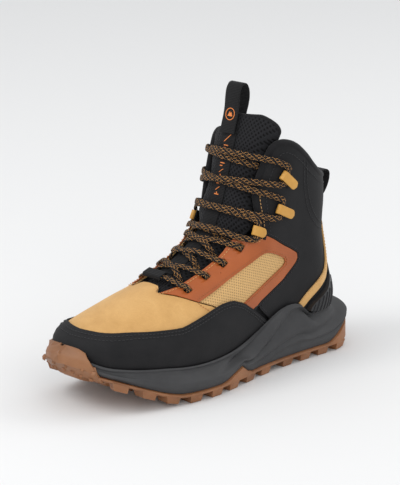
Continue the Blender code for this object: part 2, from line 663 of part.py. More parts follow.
# ------------------------------------------------------------------ bottom of the upper
board = [upper_ring(-4.0, lambda Y: feather_z(Y) - 2.6, -138.6, 131.0),
         upper_ring(-4.0, lambda Y: feather_z(Y) - 0.4, -138.8, 131.2)]
make("insole_board", *loft(board), BOARD)
foot = [upper_ring(-8.0, lambda Y: feather_z(Y) + 0.6, -140.0, 131.5),
        upper_ring(-8.9, lambda Y: feather_z(Y) + 5.0, -139.5, 131.5)]
make("footbed", *loft(foot), KNIT)

# ------------------------------------------------------------------ upper panels
X, Y, Z = FINE.fields()
shell = in_shell(X, Y, Z)
RIM = 4.2                # the collar roll takes this much of the edge above the throat
edge = RIM * smooth(Z, 118, 126)


def region(sheet, *fields):
    for f in fields:
        sheet = sheet.clip(f(*sheet.fields()))
    return sheet.biggest()


def shell_in(by):
    """Inside the shell by some mm, and by the collar roll's width above the throat."""
    return lambda X, Y, Z: in_shell(X, Y, Z) - by - RIM * smooth(Z, 120, 128)


lining = region(BASE, shell_in(1.0))
inner_sock = panel("lining", lining, (LINING[0] + 1.2 * smooth(-lining.P[:, 1], 112, 128), LINING[1]), KNIT)
TAB = 12.0              # half width of the vamp where it runs up to the base of the throat


def behind_vamp(X, Y, Z):
    return np.minimum(behind(VAMP_BACK, Y, Z), np.abs(X) - TAB) - GAP / 2


def in_vamp(X, Y, Z):
    return np.maximum(-behind(VAMP_BACK, Y, Z), np.minimum(TAB - np.abs(X), -40 - Y)) - GAP / 2


panel("vamp", region(HALF, shell_in(0.0), in_vamp), VAMP, SUEDE)
quarters, films = {}, {}
for side, tag in ((1, "lateral"), (-1, "medial")):
    one = lambda X, Y, Z, side=side: side * X
    quarters[tag] = panel("quarter_" + tag, region(HALF, one, shell_in(0.4), lambda X, Y, Z: behind_vamp(X, Y, Z) - 0.9,
                                                   lambda X, Y, Z: -ankle_field(Y, Z) - GAP / 2), QUARTER, MESH)
    films[tag] = panel("film_overlay_" + tag, region(HALF, one, shell_in(0.0), behind_vamp,
                                                     lambda X, Y, Z: -ankle_field(Y, Z) - 0.5,
                                                     lambda X, Y, Z: -in_mudguard(X, Y, Z) - GAP,
                                                     lambda X, Y, Z: -spoly(WINDOW, Y, Z)), FILM, BROWN)
panel("ankle_panel", region(HALF, shell_in(0.0), lambda X, Y, Z: ankle_field(Y, Z) - GAP / 2,
                            lambda X, Y, Z: -in_mudguard(X, Y, Z) - GAP), ANKLE, BLACK)
panel("mudguard", region(HALF, in_mudguard, lambda X, Y, Z: 60 - Y), MUDGUARD, BLACK)
panel("heel_stripe", region(HALF, lambda X, Y, Z: -pdist(STRIPE_FRONT, Y, Z) * -1, lambda X, Y, Z: -pdist(STRIPE_BACK, Y, Z),
                            lambda X, Y, Z: Z - sole_top_z(Y) - 0.6), STRIPE, SUEDE)
panel("heel_panel", region(HALF, lambda X, Y, Z: pdist(STRIPE_BACK, Y, Z) - GAP, lambda X, Y, Z: Y - 70), HEEL, BLACK)
CLIP = [(84.5, 42.5), (87, 47), (98, 52), (110, 57), (118.5, 63.5), (125, 70), (129, 75), (150, 79), (150, 20), (84.5, 20)]
clip = region(HALF, lambda X, Y, Z: spoly(CLIP, Y, Z), lambda X, Y, Z: Z - sole_top_z(Y) - 2.4)
panel("heel_clip", clip, (0.9, 1.4 + 4.6 * smooth(-clip.P[:, 2], -74, -48)), TPU)

# ------------------------------------------------------------------ points on the master surface
top_arc = np.concatenate([[0], np.cumsum(np.linalg.norm(np.diff(top, axis=0), axis=1))])


def surf(x, s):
    """Point of the master surface at x, on the section that leaves the top line at arc length s."""
    y0, z0 = np.interp(s, top_arc, top[:, 0]), np.interp(s, top_arc, top[:, 1])
    y1, z1 = np.interp(s + 1.5, top_arc, top[:, 0]), np.interp(s + 1.5, top_arc, top[:, 1])
    t = np.array([y1 - y0, z1 - z0])
    t /= np.linalg.norm(t)
    side = 1 if x >= 0 else -1
    d = 46.0 * np.linspace(0, 1, 121) ** 2
    y, z = y0 + d * t[1], z0 - d * t[0]
    out = np.maximum.accumulate(side * centre(y) + width(y, z, side) + 1e-6 * d)
    m = np.interp(abs(x), out, d)
    return np.array([x, y0 + m * t[1], z0 - m * t[0]])


def normal(x, s):
    e = 1.2
    n = np.cross(surf(x + e, s) - surf(x - e, s), surf(x, s + e) - surf(x, s - e))
    return n / np.linalg.norm(n)


def at(x, s, offset):
    return surf(x, s) + offset * normal(x, s)


def arc_of(y, z):
    return float(along(np.array([y]), np.array([z]))[0])


def flank(y, z, side):
    """Point and outward normal of the master surface in the side view."""
    def p(y, z):
        return np.array([float(centre(y)) + side * float(width(y, z, side)), y, z])
    n = np.cross(p(y + 1, z) - p(y - 1, z), p(y, z + 1) - p(y, z - 1)) * side
    return p(y, z), n / np.linalg.norm(n)


# ------------------------------------------------------------------ tongue
TONGUE_SIDE = [(-74, 30), (-74, 212.4), (38, 212.4), (51.5, 213.6), (56, 210.5), (64, 189), (66, 175), (62, 160), (58, 140),
               (48, 118), (36, 100), (36, 30)]
HINGE_Y, HINGE_Z = 28.0, 184.0       # where the tongue's top folds forward, on its front face
HINGE_S = arc_of(HINGE_Y, HINGE_Z)


def in_tongue(X, Y, Z):
    return np.minimum(31 + 7 * smooth(Z, 108, 150) - np.abs(X), spoly(TONGUE_SIDE, Y, Z))


def tongue_piece(name, lower, mat, lift=0.0, thick=None, half=None, first=-1e3):
    fields = [in_tongue, (lambda X, Y, Z: HINGE_S - 0.6 - along(Y, Z)) if lower else (lambda X, Y, Z: along(Y, Z) - HINGE_S - 0.6)]
    if half:
        fields += [lambda X, Y, Z: half - np.abs(X), lambda X, Y, Z: along(Y, Z) - first]
    S = region(HALF, *fields)
    face = tongue_face(S) + lift
    return make(name, *S.thick(face - (thick or TONGUE_T), face), mat)


tongue_piece("tongue_lower", True, KNIT)
tongue_piece("tongue_flap", False, KNIT)
tongue_piece("tongue_strip", True, WEB, lift=1.75, thick=1.1, half=8.0, first=arc_of(-40, 93.5))
tongue_piece("tongue_flap_strip", False, WEB, lift=1.75, thick=1.1, half=8.0)


# ------------------------------------------------------------------ bands and bars
def ring_prism(outer, inner, origin, u, n, t, half):
    """A closed band: the profile between two loops of (u, n) points, extruded by half to each side along t."""
    origin, u, n, t = [np.asarray(v, float) for v in (origin, u, n, t)]
    k = len(outer)
    V = []
    for e in (-half, half):
        for loop in (outer, inner):
            V += [origin + p * u + q * n + e * t for p, q in loop]
    F = []
    for i in range(k):
        j = (i + 1) % k
        F += [[i, j, k + j, k + i], [2 * k + j, 2 * k + i, 3 * k + i, 3 * k + j],
              [j, i, 2 * k + i, 2 * k + j], [k + i, k + j, 3 * k + j, 3 * k + i]]
    area = 0.5 * sum(outer[i][0] * outer[(i + 1) % k][1] - outer[(i + 1) % k][0] * outer[i][1] for i in range(k))
    if area * np.dot(np.cross(u, n), t) > 0:
        F = [f[::-1] for f in F]
    return np.array(V), F


def band(points, t):
    """Outer and inner loops at t/2 either side of a closed line."""
    P = np.asarray(points, float)
    d = np.roll(P, -1, 0) - np.roll(P, 1, 0)
    out = np.stack([d[:, 1], -d[:, 0]], 1) / np.linalg.norm(d, axis=1, keepdims=True)
    area = 0.5 * (P[:, 0] * np.roll(P[:, 1], -1) - np.roll(P[:, 0], -1) * P[:, 1]).sum()
    out *= np.sign(area)
    return [tuple(p) for p in P + out * t / 2], [tuple(p) for p in P - out * t / 2]


X_AXIS, Y_AXIS, Z_AXIS = (1, 0, 0), (0, 1, 0), (0, 0, 1)
LOOP_LINE = [(40.2, 215.6), (37.6, 219.5), (37.0, 226), (38.4, 232.5), (41.6, 236.8), (45.4, 237.2), (48.2, 233), (48.4, 226.5),
             (46.2, 219.5), (43.2, 215.6)]
make("tongue_loop", *ring_prism(*band(LOOP_LINE, 1.4), (0, 0, 0), Y_AXIS, Z_AXIS, X_AXIS, 8.0), WEB)
HEEL_LINE = [(135.6, 150.5), (140.5, 153.2), (146.5, 152.4), (151, 147.5), (152.6, 140), (150.6, 132), (145.5, 126.5), (139.5, 124.2),
             (135.6, 126), (135.5, 134), (135.4, 142)]
make("heel_loop", *ring_prism(*band(HEEL_LINE, 1.5), (0, 0, 0), Y_AXIS, Z_AXIS, X_AXIS, 7.0), WEB)


def tube(points, normals, radii, sides=8):
    """A round tube with flat ends; radii are one per point."""
    P = np.asarray(points, float)
    T = np.gradient(P, axis=0)
    T /= np.linalg.norm(T, axis=1, keepdims=True)
    A = np.asarray(normals, float)
    A = A - (A * T).sum(1, keepdims=True) * T
    A /= np.linalg.norm(A, axis=1, keepdims=True)
    B = np.cross(T, A)
    V, F, m = [], [], len(P)
    for i in range(m):
        for k in range(sides):
            w = 2 * np.pi * k / sides
            V.append(P[i] + radii[i] * (np.cos(w) * A[i] + np.sin(w) * B[i]))
    for i in range(m - 1):
        for k in range(sides):
            j = (k + 1) % sides
            F.append([i * sides + k, i * sides + j, (i + 1) * sides + j, (i + 1) * sides + k])
    F += [[k for k in range(sides)][::-1], [(m - 1) * sides + k for k in range(sides)]]
    return V, F


def collar_path():
    edge = np.array(FRONT_EDGE, float)
    edge = edge[edge[:, 1] > 124]
    fine = spline(edge, 260)
    fine = fine[(fine[:, 0] < 133.2) & ((fine[:, 1] > 128) | (fine[:, 0] > 60))]
    fine = np.vstack([fine, [(133.25, 150.0)]])
    pts, nrm = [], []
    for y, z in fine:
        p, n = flank(y, z, 1)
        pts.append(p)
        nrm.append(n)
    pts, nrm = np.array(pts), np.array(nrm)
    pts[-1, 0], nrm[-1] = 0, (0, 1, 0)
    pts, nrm = np.vstack([pts, pts[-2::-1] * (-1, 1, 1)]), np.vstack([nrm, nrm[-2::-1] * (-1, 1, 1)])
    L = np.concatenate([[0], np.cumsum(np.linalg.norm(np.diff(pts, axis=0), axis=1))])
    f = np.linspace(0, L[-1], 75)
    pts = np.stack([np.interp(f, L, pts[:, k]) for k in range(3)], 1)
    nrm = np.stack([np.interp(f, L, nrm[:, k]) for k in range(3)], 1)
    nrm /= np.linalg.norm(nrm, axis=1, keepdims=True)
    return pts - 3.5 * nrm, nrm


roll_P, roll_N = collar_path()
make("collar_roll", *tube(roll_P, roll_N, np.full(len(roll_P), 2.9)), KNIT)


# ------------------------------------------------------------------ lacing hardware
def fitting_frame(y, z, side, du, dz):
    """Origin on the flank, u back from the throat, n outward, t across."""
    p, n = flank(y, z, side)
    u = np.array([0, du, dz], float)
    u -= u.dot(n) * n
    u /= np.linalg.norm(u)
    return p, u, n, np.cross(n, u)


HOOKS = {"lower": (50, 137, 0.94, -0.33), "upper": (54, 165, 0.93, -0.37)}
HOOK_LONG, HOOK_HALF = 20.0, 4.8
hook_frames = {}
for level, (y, z, du, dz) in HOOKS.items():
    for side, tag in ((1, "lateral"), (-1, "medial")):
        mid = (y + 9 * du, z + 9 * dz)
        p, u, n, t = fitting_frame(*mid, side, du, dz)
        o = p - 9 * u
        hook_frames[level, side] = (o, u, n, t)
        prof = [(0.3, -0.5), (14.5, -0.5), (14.5, 0.4), (1.4, 0.4), (1.4, 3.4), (18.6, 3.4), (20, 3.0), (20, 3.7), (18.4, 4.7),
                (1.2, 4.7), (0, 3.8), (0, 0.2)]
        make("hook_%s_%s" % (level, tag), *prism(prof, o, u, n, t, HOOK_HALF), TAN)

LOOP5 = (26.5, 122.5, 0.95, -0.3)
loop_frames = {}
for side, tag in ((1, "lateral"), (-1, "medial")):
    y, z, du, dz = LOOP5
    p, u, n, t = fitting_frame(y + 8 * du, z + 8 * dz, side, du, dz)
    o = p - 8 * u
    loop_frames[side] = (o, u, n, t)
    outer = [(0.2, 0.0), (13.5, -0.4), (13.5, 1.9), (7.2, 4.2), (1.0, 4.2), (0, 3.2)]
    inner = [(1.4, 0.9), (7.2, 0.8), (8.4, 1.6), (6.8, 3.1), (1.8, 3.1), (1.4, 2.8)]
    make("lace_loop_" + tag, *ring_prism(outer, inner, o, u, n, t, 4.8), TAN)

KEEPER_S = arc_of(-47.5, 91)
o, n = at(-3.0, KEEPER_S, 0.3), normal(0, KEEPER_S)
u = surf(0, KEEPER_S + 1.5) - surf(0, KEEPER_S - 1.5)
u -= u.dot(n) * n
u /= np.linalg.norm(u)
t = np.cross(n, u)
make("lace_keeper", *prism([(-4.6, 0.0), (-4.6, 2.7), (-3.6, 3.5), (3.6, 3.5), (4.6, 2.7), (4.6, 0.0), (3.7, 0.0), (3.7, 2.5), (-3.7, 2.5),
                            (-3.7, 0.0)], o, u, n, t, 10.0), WEB)

# ------------------------------------------------------------------ eyelets and the lace
EYELETS = [(27.8, -41, 85), (28.0, -21, 92.5), (29.5, -3, 100), (32.0, 14.5, 109)]
EYELET_U, EYELET_V = 2.8, 3.4        # half sizes, out from the throat and along its edge
holes = []
for x, y, z in EYELETS:
    s0 = arc_of(y, z)
    for side in (1, -1):
        o, n = surf(side * x, s0), normal(side * x, s0)
        v = surf(side * x, s0 + 1.5) - surf(side * x, s0 - 1.5)
        v -= v.dot(n) * n
        v /= np.linalg.norm(v)
        u = np.cross(v, n)
        a, b = EYELET_U, EYELET_V
        prof = [(-a, -b + 0.8), (-a + 0.8, -b), (a - 0.8, -b), (a, -b + 0.8), (a, b - 0.8), (a - 0.8, b), (-a + 0.8, b), (-a, b - 0.8)]
        holes.append(prism(prof, o - 3.2 * n, u, v, n, 5.5))
eyelet_cut = cutter("eyelet_cuts", *join(holes))
for ob in (inner_sock, *quarters.values(), *films.values()):
    boolean(ob, eyelet_cut, "DIFFERENCE")

LACE_W, LACE_T = 3.5, 1.3
UNDER, OVER, HELD = -7.35, 0.55, 2.0
LOW, HIGH = 2.0, 3.95               # strand centres where two cross over the tongue


def face_at(p):
    return float(-8.8 + 7.6 * smooth(-in_shell(np.array([p[0] - float(centre(p[1]))]), np.array([p[1]]), np.array([p[2]])), -1.0, 15.0)[0])


class Run:
    """Collects the lace's control points with the surface normal at each."""

    def __init__(self):
        self.P, self.N = [], []

    def add(self, p, n):
        self.P.append(np.asarray(p, float))
        self.N.append(np.asarray(n, float))

    def on(self, x, s, off):
        self.add(at(x, s, off), normal(x, s))

    def hole(self, x, s, heading_in, heading_out):
        """Over to under through an eyelet; headings are unit steps in (x, s)."""
        side = np.sign(x)
        self.on(x - 3.4 * heading_in[0], s - 3.4 * heading_in[1], OVER)
        self.on(x - 0.9 * heading_in[0], s - 0.9 * heading_in[1], OVER + 0.25)
        self.on(x + side * 1.0, s, -1.2)
        self.on(x + side * 1.25, s, -3.6)
        self.on(x + side * 0.9, s, -5.9)
        self.on(x + 1.4 * heading_out[0], s + 1.4 * heading_out[1], UNDER - 0.05)
        self.on(x + 4.0 * heading_out[0], s + 4.0 * heading_out[1], UNDER)

    def across(self, a, b, mid, start, end, f0=0.16, f1=0.84, steps=8):
        """From a to b in (x, s) over the tongue, 'under' or 'over' the edge at each end."""
        for f in np.linspace(f0, f1, steps):
            x, s = a[0] + f * (b[0] - a[0]), a[1] + f * (b[1] - a[1])
            low = face_at(surf(x, s)) + 1.5
            kind = start if f < 0.5 else end
            q = float(smooth(np.array(min(f, 1 - f)), 0.14, 0.33))
            off = low + (mid - 0.3) * q if kind == "under" else max((1 - q) * kind + q * mid, low + 0.2)
            self.on(x, s, off)

    def held(self, frame, u0, rise):
        """Up inside a fold of hardware."""
        o, u, n, t = frame
        side_t = t if t[2] > 0 else -t
        for e in (-7.2, -3.6, 0.0, 3.6, 7.2):
            back = u0 if abs(e) < 5 else u0 - 1.6
            self.add(o + back * u + (rise + (0.6 if abs(e) > 5 else 0)) * n + e * side_t, n)


def unit(a, b):
    d = np.array([b[0] - a[0], b[1] - a[1]], float)
    return d / np.linalg.norm(d)


E = [(x, arc_of(y, z)) for x, y, z in EYELETS]
M = [(-x, s) for x, s in E]


def hw(frame, rise, e, u0=-4.0):
    """(x, s) of a point beside a fold, where the lace arrives or leaves."""
    o, u, n, t = frame
    p = o + u0 * u + e * (t if t[2] > 0 else -t)
    return (p[0], arc_of(p[1], p[2]))


def half_lace(start_side):
    """From the bottom bar's eyelet on one side to the tucked end; side +1 starts at the lateral eyelet."""
    g = start_side
    here, there = (E, M) if g > 0 else (M, E)
    mid = HIGH if g > 0 else LOW
    r = Run()
    bar_in = (g, 0.0)
    r.hole(*here[0], bar_in, unit(here[0], there[1]))
    cur = here
    other = there
    for i in range(3):
        r.across(cur[i], other[i + 1], mid, "under", OVER)
        nxt = cur[i + 2] if i < 2 else None
        out_to = cur[i + 2] if i < 2 else (cur[3][0], cur[3][1] + 22)
        r.hole(*other[i + 1], unit(cur[i], other[i + 1]), unit(other[i + 1], out_to))
        cur, other = other, cur
    side = 1 if cur is E else -1
    # level 5 loop on the far side, then the lower hook, then the upper hook
    frames = [loop_frames[-side], hook_frames["lower", side], hook_frames["upper", -side]]
    a = cur[3]
    prev = "under"
    for k, fr in enumerate(frames):
        u0, rise = (4.2, 2.0) if k == 0 else (4.6, 1.9)
        b = hw(fr, rise, -9.5, -5.0)
        r.across(a, b, mid, prev, HELD, f0=0.16, f1=0.92, steps=8)
        r.held(fr, u0, rise)
        a = hw(fr, rise, 9.5, -5.0)
        prev = HELD
        side = -side
    end_side = -1 if a[0] > 0 else 1
    b = (end_side * 30.0, arc_of(36.0, 171.0) + (9 if g > 0 else 2))
    for f in np.linspace(0.06, 1.0, 11):
        x, s = a[0] + f * (b[0] - a[0]), a[1] + f * (b[1] - a[1])
        low = face_at(surf(x, s)) + 1.5
        q = float(smooth(np.array(f), 0.0, 0.35))
        w = float(smooth(np.array(f), 0.55, 0.95))
        r.on(x, s, max((1 - q) * HELD + q * mid, low) * (1 - w) + w * low)
    return r


runs = half_lace(1), half_lace(-1)
bar = Run()
for f in np.linspace(0.1, 0.9, 7):
    x = -E[0][0] + f * 2 * E[0][0]
    s0 = E[0][1] + (KEEPER_S - E[0][1]) * float(np.sin(np.pi * f)) ** 0.7
    bar.on(x, s0, 0.4 + 1.25 * float(np.sin(np.pi * f)))
ctrl = np.vstack([np.array(runs[1].P)[::-1], bar.P, runs[0].P])
ctrl_n = np.vstack([np.array(runs[1].N)[::-1], bar.N, runs[0].N])


def lace_path(P, N, step):
    """A smooth line through the control points, with a width direction that never flips."""
    keep = [0]
    for i in range(1, len(P)):
        if np.linalg.norm(P[i] - P[keep[-1]]) > 0.9:
            keep.append(i)
    P, N = P[keep], N[keep]
    k = len(P)
    D = np.concatenate([[0], np.cumsum(np.linalg.norm(np.diff(P, axis=0), axis=1) ** 0.5)])
    Q = np.vstack([2 * P[0] - P[1], P, 2 * P[-1] - P[-2]])
    t = np.linspace(0, 1, 16, endpoint=False)[:, None]
    pts, nn = [], []
    for i in range(1, len(Q) - 2):
        p0, p1, p2, p3 = Q[i - 1:i + 3]
        d1, d2, d3 = [max(np.linalg.norm(b - a), 1e-9) ** 0.5 for a, b in ((p0, p1), (p1, p2), (p2, p3))]
        m1 = (p2 - p1) + d2 * ((p1 - p0) / d1 - (p2 - p0) / (d1 + d2))
        m2 = (p2 - p1) + d2 * ((p3 - p2) / d3 - (p3 - p1) / (d2 + d3))
        pts.append((2 * t**3 - 3 * t**2 + 1) * p1 + (t**3 - 2 * t**2 + t) * m1 + (-2 * t**3 + 3 * t**2) * p2 + (t**3 - t**2) * m2)
        nn.append(N[i - 1] * (1 - t) + N[i] * t)
    pts, nn = np.vstack(pts + [P[-1:]]), np.vstack(nn + [N[-1:]])
    L = np.concatenate([[0], np.cumsum(np.linalg.norm(np.diff(pts, axis=0), axis=1))])
    T = np.gradient(pts, axis=0)
    T /= np.linalg.norm(T, axis=1, keepdims=True)
    turn = np.concatenate([[0], np.linalg.norm(np.diff(T, axis=0), axis=1)])
    cost = L / step + np.cumsum(turn) * 1.5
    f = np.linspace(0, cost[-1], int(cost[-1]) + 2)
    at_L = np.interp(f, cost, L)
    C, n = [np.stack([np.interp(at_L, L, A[:, j]) for j in range(3)], 1) for A in (pts, nn)]
    T = np.gradient(C, axis=0)
    T /= np.linalg.norm(T, axis=1, keepdims=True)
    n /= np.linalg.norm(n, axis=1, keepdims=True)
    W = np.cross(T, n)
    size = np.linalg.norm(W, axis=1)
    good = size > 0.55
    W /= np.maximum(size, 1e-9)[:, None]
    last = None
    for i in range(len(W)):
        if good[i]:
            if last is not None and W[i].dot(last) < 0:
                W[i] = -W[i]
            last = W[i]
    idx = np.arange(len(W))
    W = np.stack([np.interp(idx, idx[good], W[good, j]) for j in range(3)], 1)
    W[1:-1] = (W[:-2] + 2 * W[1:-1] + W[2:]) / 4
    W -= (W * T).sum(1, keepdims=True) * T
    W /= np.linalg.norm(W, axis=1, keepdims=True)
    return C, T, W, L[-1]


lace_C, lace_Tn, lace_W, lace_long = lace_path(ctrl, ctrl_n, 8.0)
B = np.cross(lace_Tn, lace_W)
V, F, m = [], [], len(lace_C)
for i in range(m):
    for a, b in ((-1, -1), (1, -1), (1, 1), (-1, 1)):
        V.append(lace_C[i] + a * LACE_W / 2 * lace_W[i] + b * LACE_T / 2 * B[i])
for i in range(m - 1):
    for k in range(4):
        j = (k + 1) % 4
        F.append([i * 4 + k, i * 4 + j, (i + 1) * 4 + j, (i + 1) * 4 + k])
F += [[3, 2, 1, 0], [(m - 1) * 4 + k for k in range(4)]]
make("lace", V, F, CORD)
print("lace sections", m, "length", round(lace_long))
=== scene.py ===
"""How the hiking boot looks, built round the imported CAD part.

The surfaces come from the same profiles and widths as the part, on a finer grid, in the same frame.
Constants are in millimetres in the boot's own drawing frame; ORIGIN and MM bring them into the row frame."""
import json
import math
import random

import bpy
import numpy as np
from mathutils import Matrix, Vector

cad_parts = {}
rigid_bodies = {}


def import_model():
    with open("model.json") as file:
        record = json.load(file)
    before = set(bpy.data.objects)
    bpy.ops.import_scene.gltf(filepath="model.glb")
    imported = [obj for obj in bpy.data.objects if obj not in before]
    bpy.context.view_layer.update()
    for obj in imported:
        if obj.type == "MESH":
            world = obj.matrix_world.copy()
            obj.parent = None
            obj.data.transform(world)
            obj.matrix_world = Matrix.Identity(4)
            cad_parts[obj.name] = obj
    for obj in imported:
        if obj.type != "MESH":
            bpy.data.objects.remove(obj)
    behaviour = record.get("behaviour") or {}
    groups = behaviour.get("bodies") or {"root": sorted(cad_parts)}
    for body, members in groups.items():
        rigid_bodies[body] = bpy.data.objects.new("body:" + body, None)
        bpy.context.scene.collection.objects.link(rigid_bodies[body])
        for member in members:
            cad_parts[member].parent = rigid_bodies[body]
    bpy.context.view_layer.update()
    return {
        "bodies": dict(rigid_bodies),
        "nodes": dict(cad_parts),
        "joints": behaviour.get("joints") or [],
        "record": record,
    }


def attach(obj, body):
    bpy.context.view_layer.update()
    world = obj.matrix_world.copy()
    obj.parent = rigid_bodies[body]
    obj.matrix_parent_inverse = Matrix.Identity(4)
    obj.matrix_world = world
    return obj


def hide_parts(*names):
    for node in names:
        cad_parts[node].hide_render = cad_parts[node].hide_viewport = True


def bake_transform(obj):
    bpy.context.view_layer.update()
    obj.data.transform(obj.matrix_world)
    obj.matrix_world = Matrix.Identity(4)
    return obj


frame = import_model()
MM = 0.001
ORIGIN = (1.3, 3.3, 0.0)
SHARP = {"outsole": 32, "midsole": 40}
BODY = {"tongue_flap": "tongue_top", "tongue_flap_strip": "tongue_top", "tongue_loop": "pull_loop"}
MADE, CUTTERS = {}, []
random.seed(4)


# ------------------------------------------------------------------ materials
class Net:
    """A small helper that writes a shader's nodes."""

    def __init__(self, name, colour, rough, **sockets):
        self.m = bpy.data.materials.new(name)
        self.m.use_nodes = True
        self.t = self.m.node_tree
        self.b = self.t.nodes["Principled BSDF"]
        self.b.inputs["Base Color"].default_value = (*colour, 1)
        self.b.inputs["Roughness"].default_value = rough
        for k, v in sockets.items():
            self.b.inputs[k.replace("_", " ")].default_value = v
        self.co = self.t.nodes.new("ShaderNodeTexCoord")

    def node(self, kind, **props):
        n = self.t.nodes.new(kind)
        for k, v in props.items():
            setattr(n, k, v)
        return n

    def link(self, a, b):
        self.t.links.new(a, b)

    def mapped(self, scale=(1, 1, 1), turn=(0, 0, 0), uv=False):
        n = self.node("ShaderNodeMapping")
        n.inputs["Scale"].default_value = scale
        n.inputs["Rotation"].default_value = turn
        self.link(self.co.outputs["UV" if uv else "Object"], n.inputs["Vector"])
        return n.outputs["Vector"]

    def noise(self, scale, detail=3, rough=0.6, vec=None, warp=0.0):
        n = self.node("ShaderNodeTexNoise")
        n.inputs["Scale"].default_value = scale
        n.inputs["Detail"].default_value = detail
        n.inputs["Roughness"].default_value = rough
        n.inputs["Distortion"].default_value = warp
        self.link(vec or self.co.outputs["Object"], n.inputs["Vector"])
        return n.outputs["Fac"]

    def voronoi(self, scale, vec=None, feature="F1", jitter=1.0):
        n = self.node("ShaderNodeTexVoronoi", feature=feature)
        n.inputs["Scale"].default_value = scale
        n.inputs["Randomness"].default_value = jitter
        self.link(vec or self.co.outputs["Object"], n.inputs["Vector"])
        return n.outputs["Distance"]

    def math(self, op, a, b=None, clamp=False):
        n = self.node("ShaderNodeMath", operation=op, use_clamp=clamp)
        for k, v in enumerate((a, b)):
            if v is None:
                continue
            if isinstance(v, (int, float)):
                n.inputs[k].default_value = v
            else:
                self.link(v, n.inputs[k])
        return n.outputs[0]

    def axis(self, k, vec=None):
        n = self.node("ShaderNodeSeparateXYZ")
        self.link(vec or self.co.outputs["Object"], n.inputs[0])
        return n.outputs[k]

    def sine(self, value, pitch):
        """0..1 stripes at that pitch in metres."""
        return self.math("MULTIPLY_ADD", self.math("SINE", self.math("MULTIPLY", value, 2 * math.pi / pitch)), 0.5)

    def stripes(self, value, pitch):
        s = self.math("SINE", self.math("MULTIPLY", value, 2 * math.pi / pitch))
        return self.math("ADD", self.math("MULTIPLY", s, 0.5), 0.5)

    def ramp(self, fac, stops):
        n = self.node("ShaderNodeValToRGB")
        e = n.color_ramp.elements
        while len(e) < len(stops):
            e.new(0.5)
        for k, (p, c) in enumerate(stops):
            e[k].position = p
            e[k].color = (*c, 1)
        self.link(fac, n.inputs["Fac"])
        return n.outputs["Color"]

    def mix(self, fac, a, b):
        n = self.node("ShaderNodeMix", data_type="RGBA")
        for key, v in (("Factor", fac), ("A", a), ("B", b)):
            s = [i for i in n.inputs if i.name == key and (i.type == "VALUE" if key == "Factor" else i.type == "RGBA")][0]
            if isinstance(v, (int, float)):
                s.default_value = v
            elif isinstance(v, tuple):
                s.default_value = (*v, 1)
            else:
                self.link(v, s)
        return [o for o in n.outputs if o.type == "RGBA"][0]

    def colour(self, out):
        self.link(out, self.b.inputs["Base Color"])

    def rough(self, fac, low, high):
        n = self.node("ShaderNodeMapRange")
        n.inputs["To Min"].default_value, n.inputs["To Max"].default_value = low, high
        self.link(fac, n.inputs["Value"])
        self.link(n.outputs["Result"], self.b.inputs["Roughness"])

    def bump(self, *layers):
        """(height output, strength, distance in mm) one on another."""
        last = None
        for h, strength, dist in layers:
            n = self.node("ShaderNodeBump")
            n.inputs["Strength"].default_value = strength
            n.inputs["Distance"].default_value = dist * MM
            self.link(h, n.inputs["Height"])
            if last:
                self.link(last, n.inputs["Normal"])
            last = n.outputs["Normal"]
        self.link(last, self.b.inputs["Normal"])
        return self.m


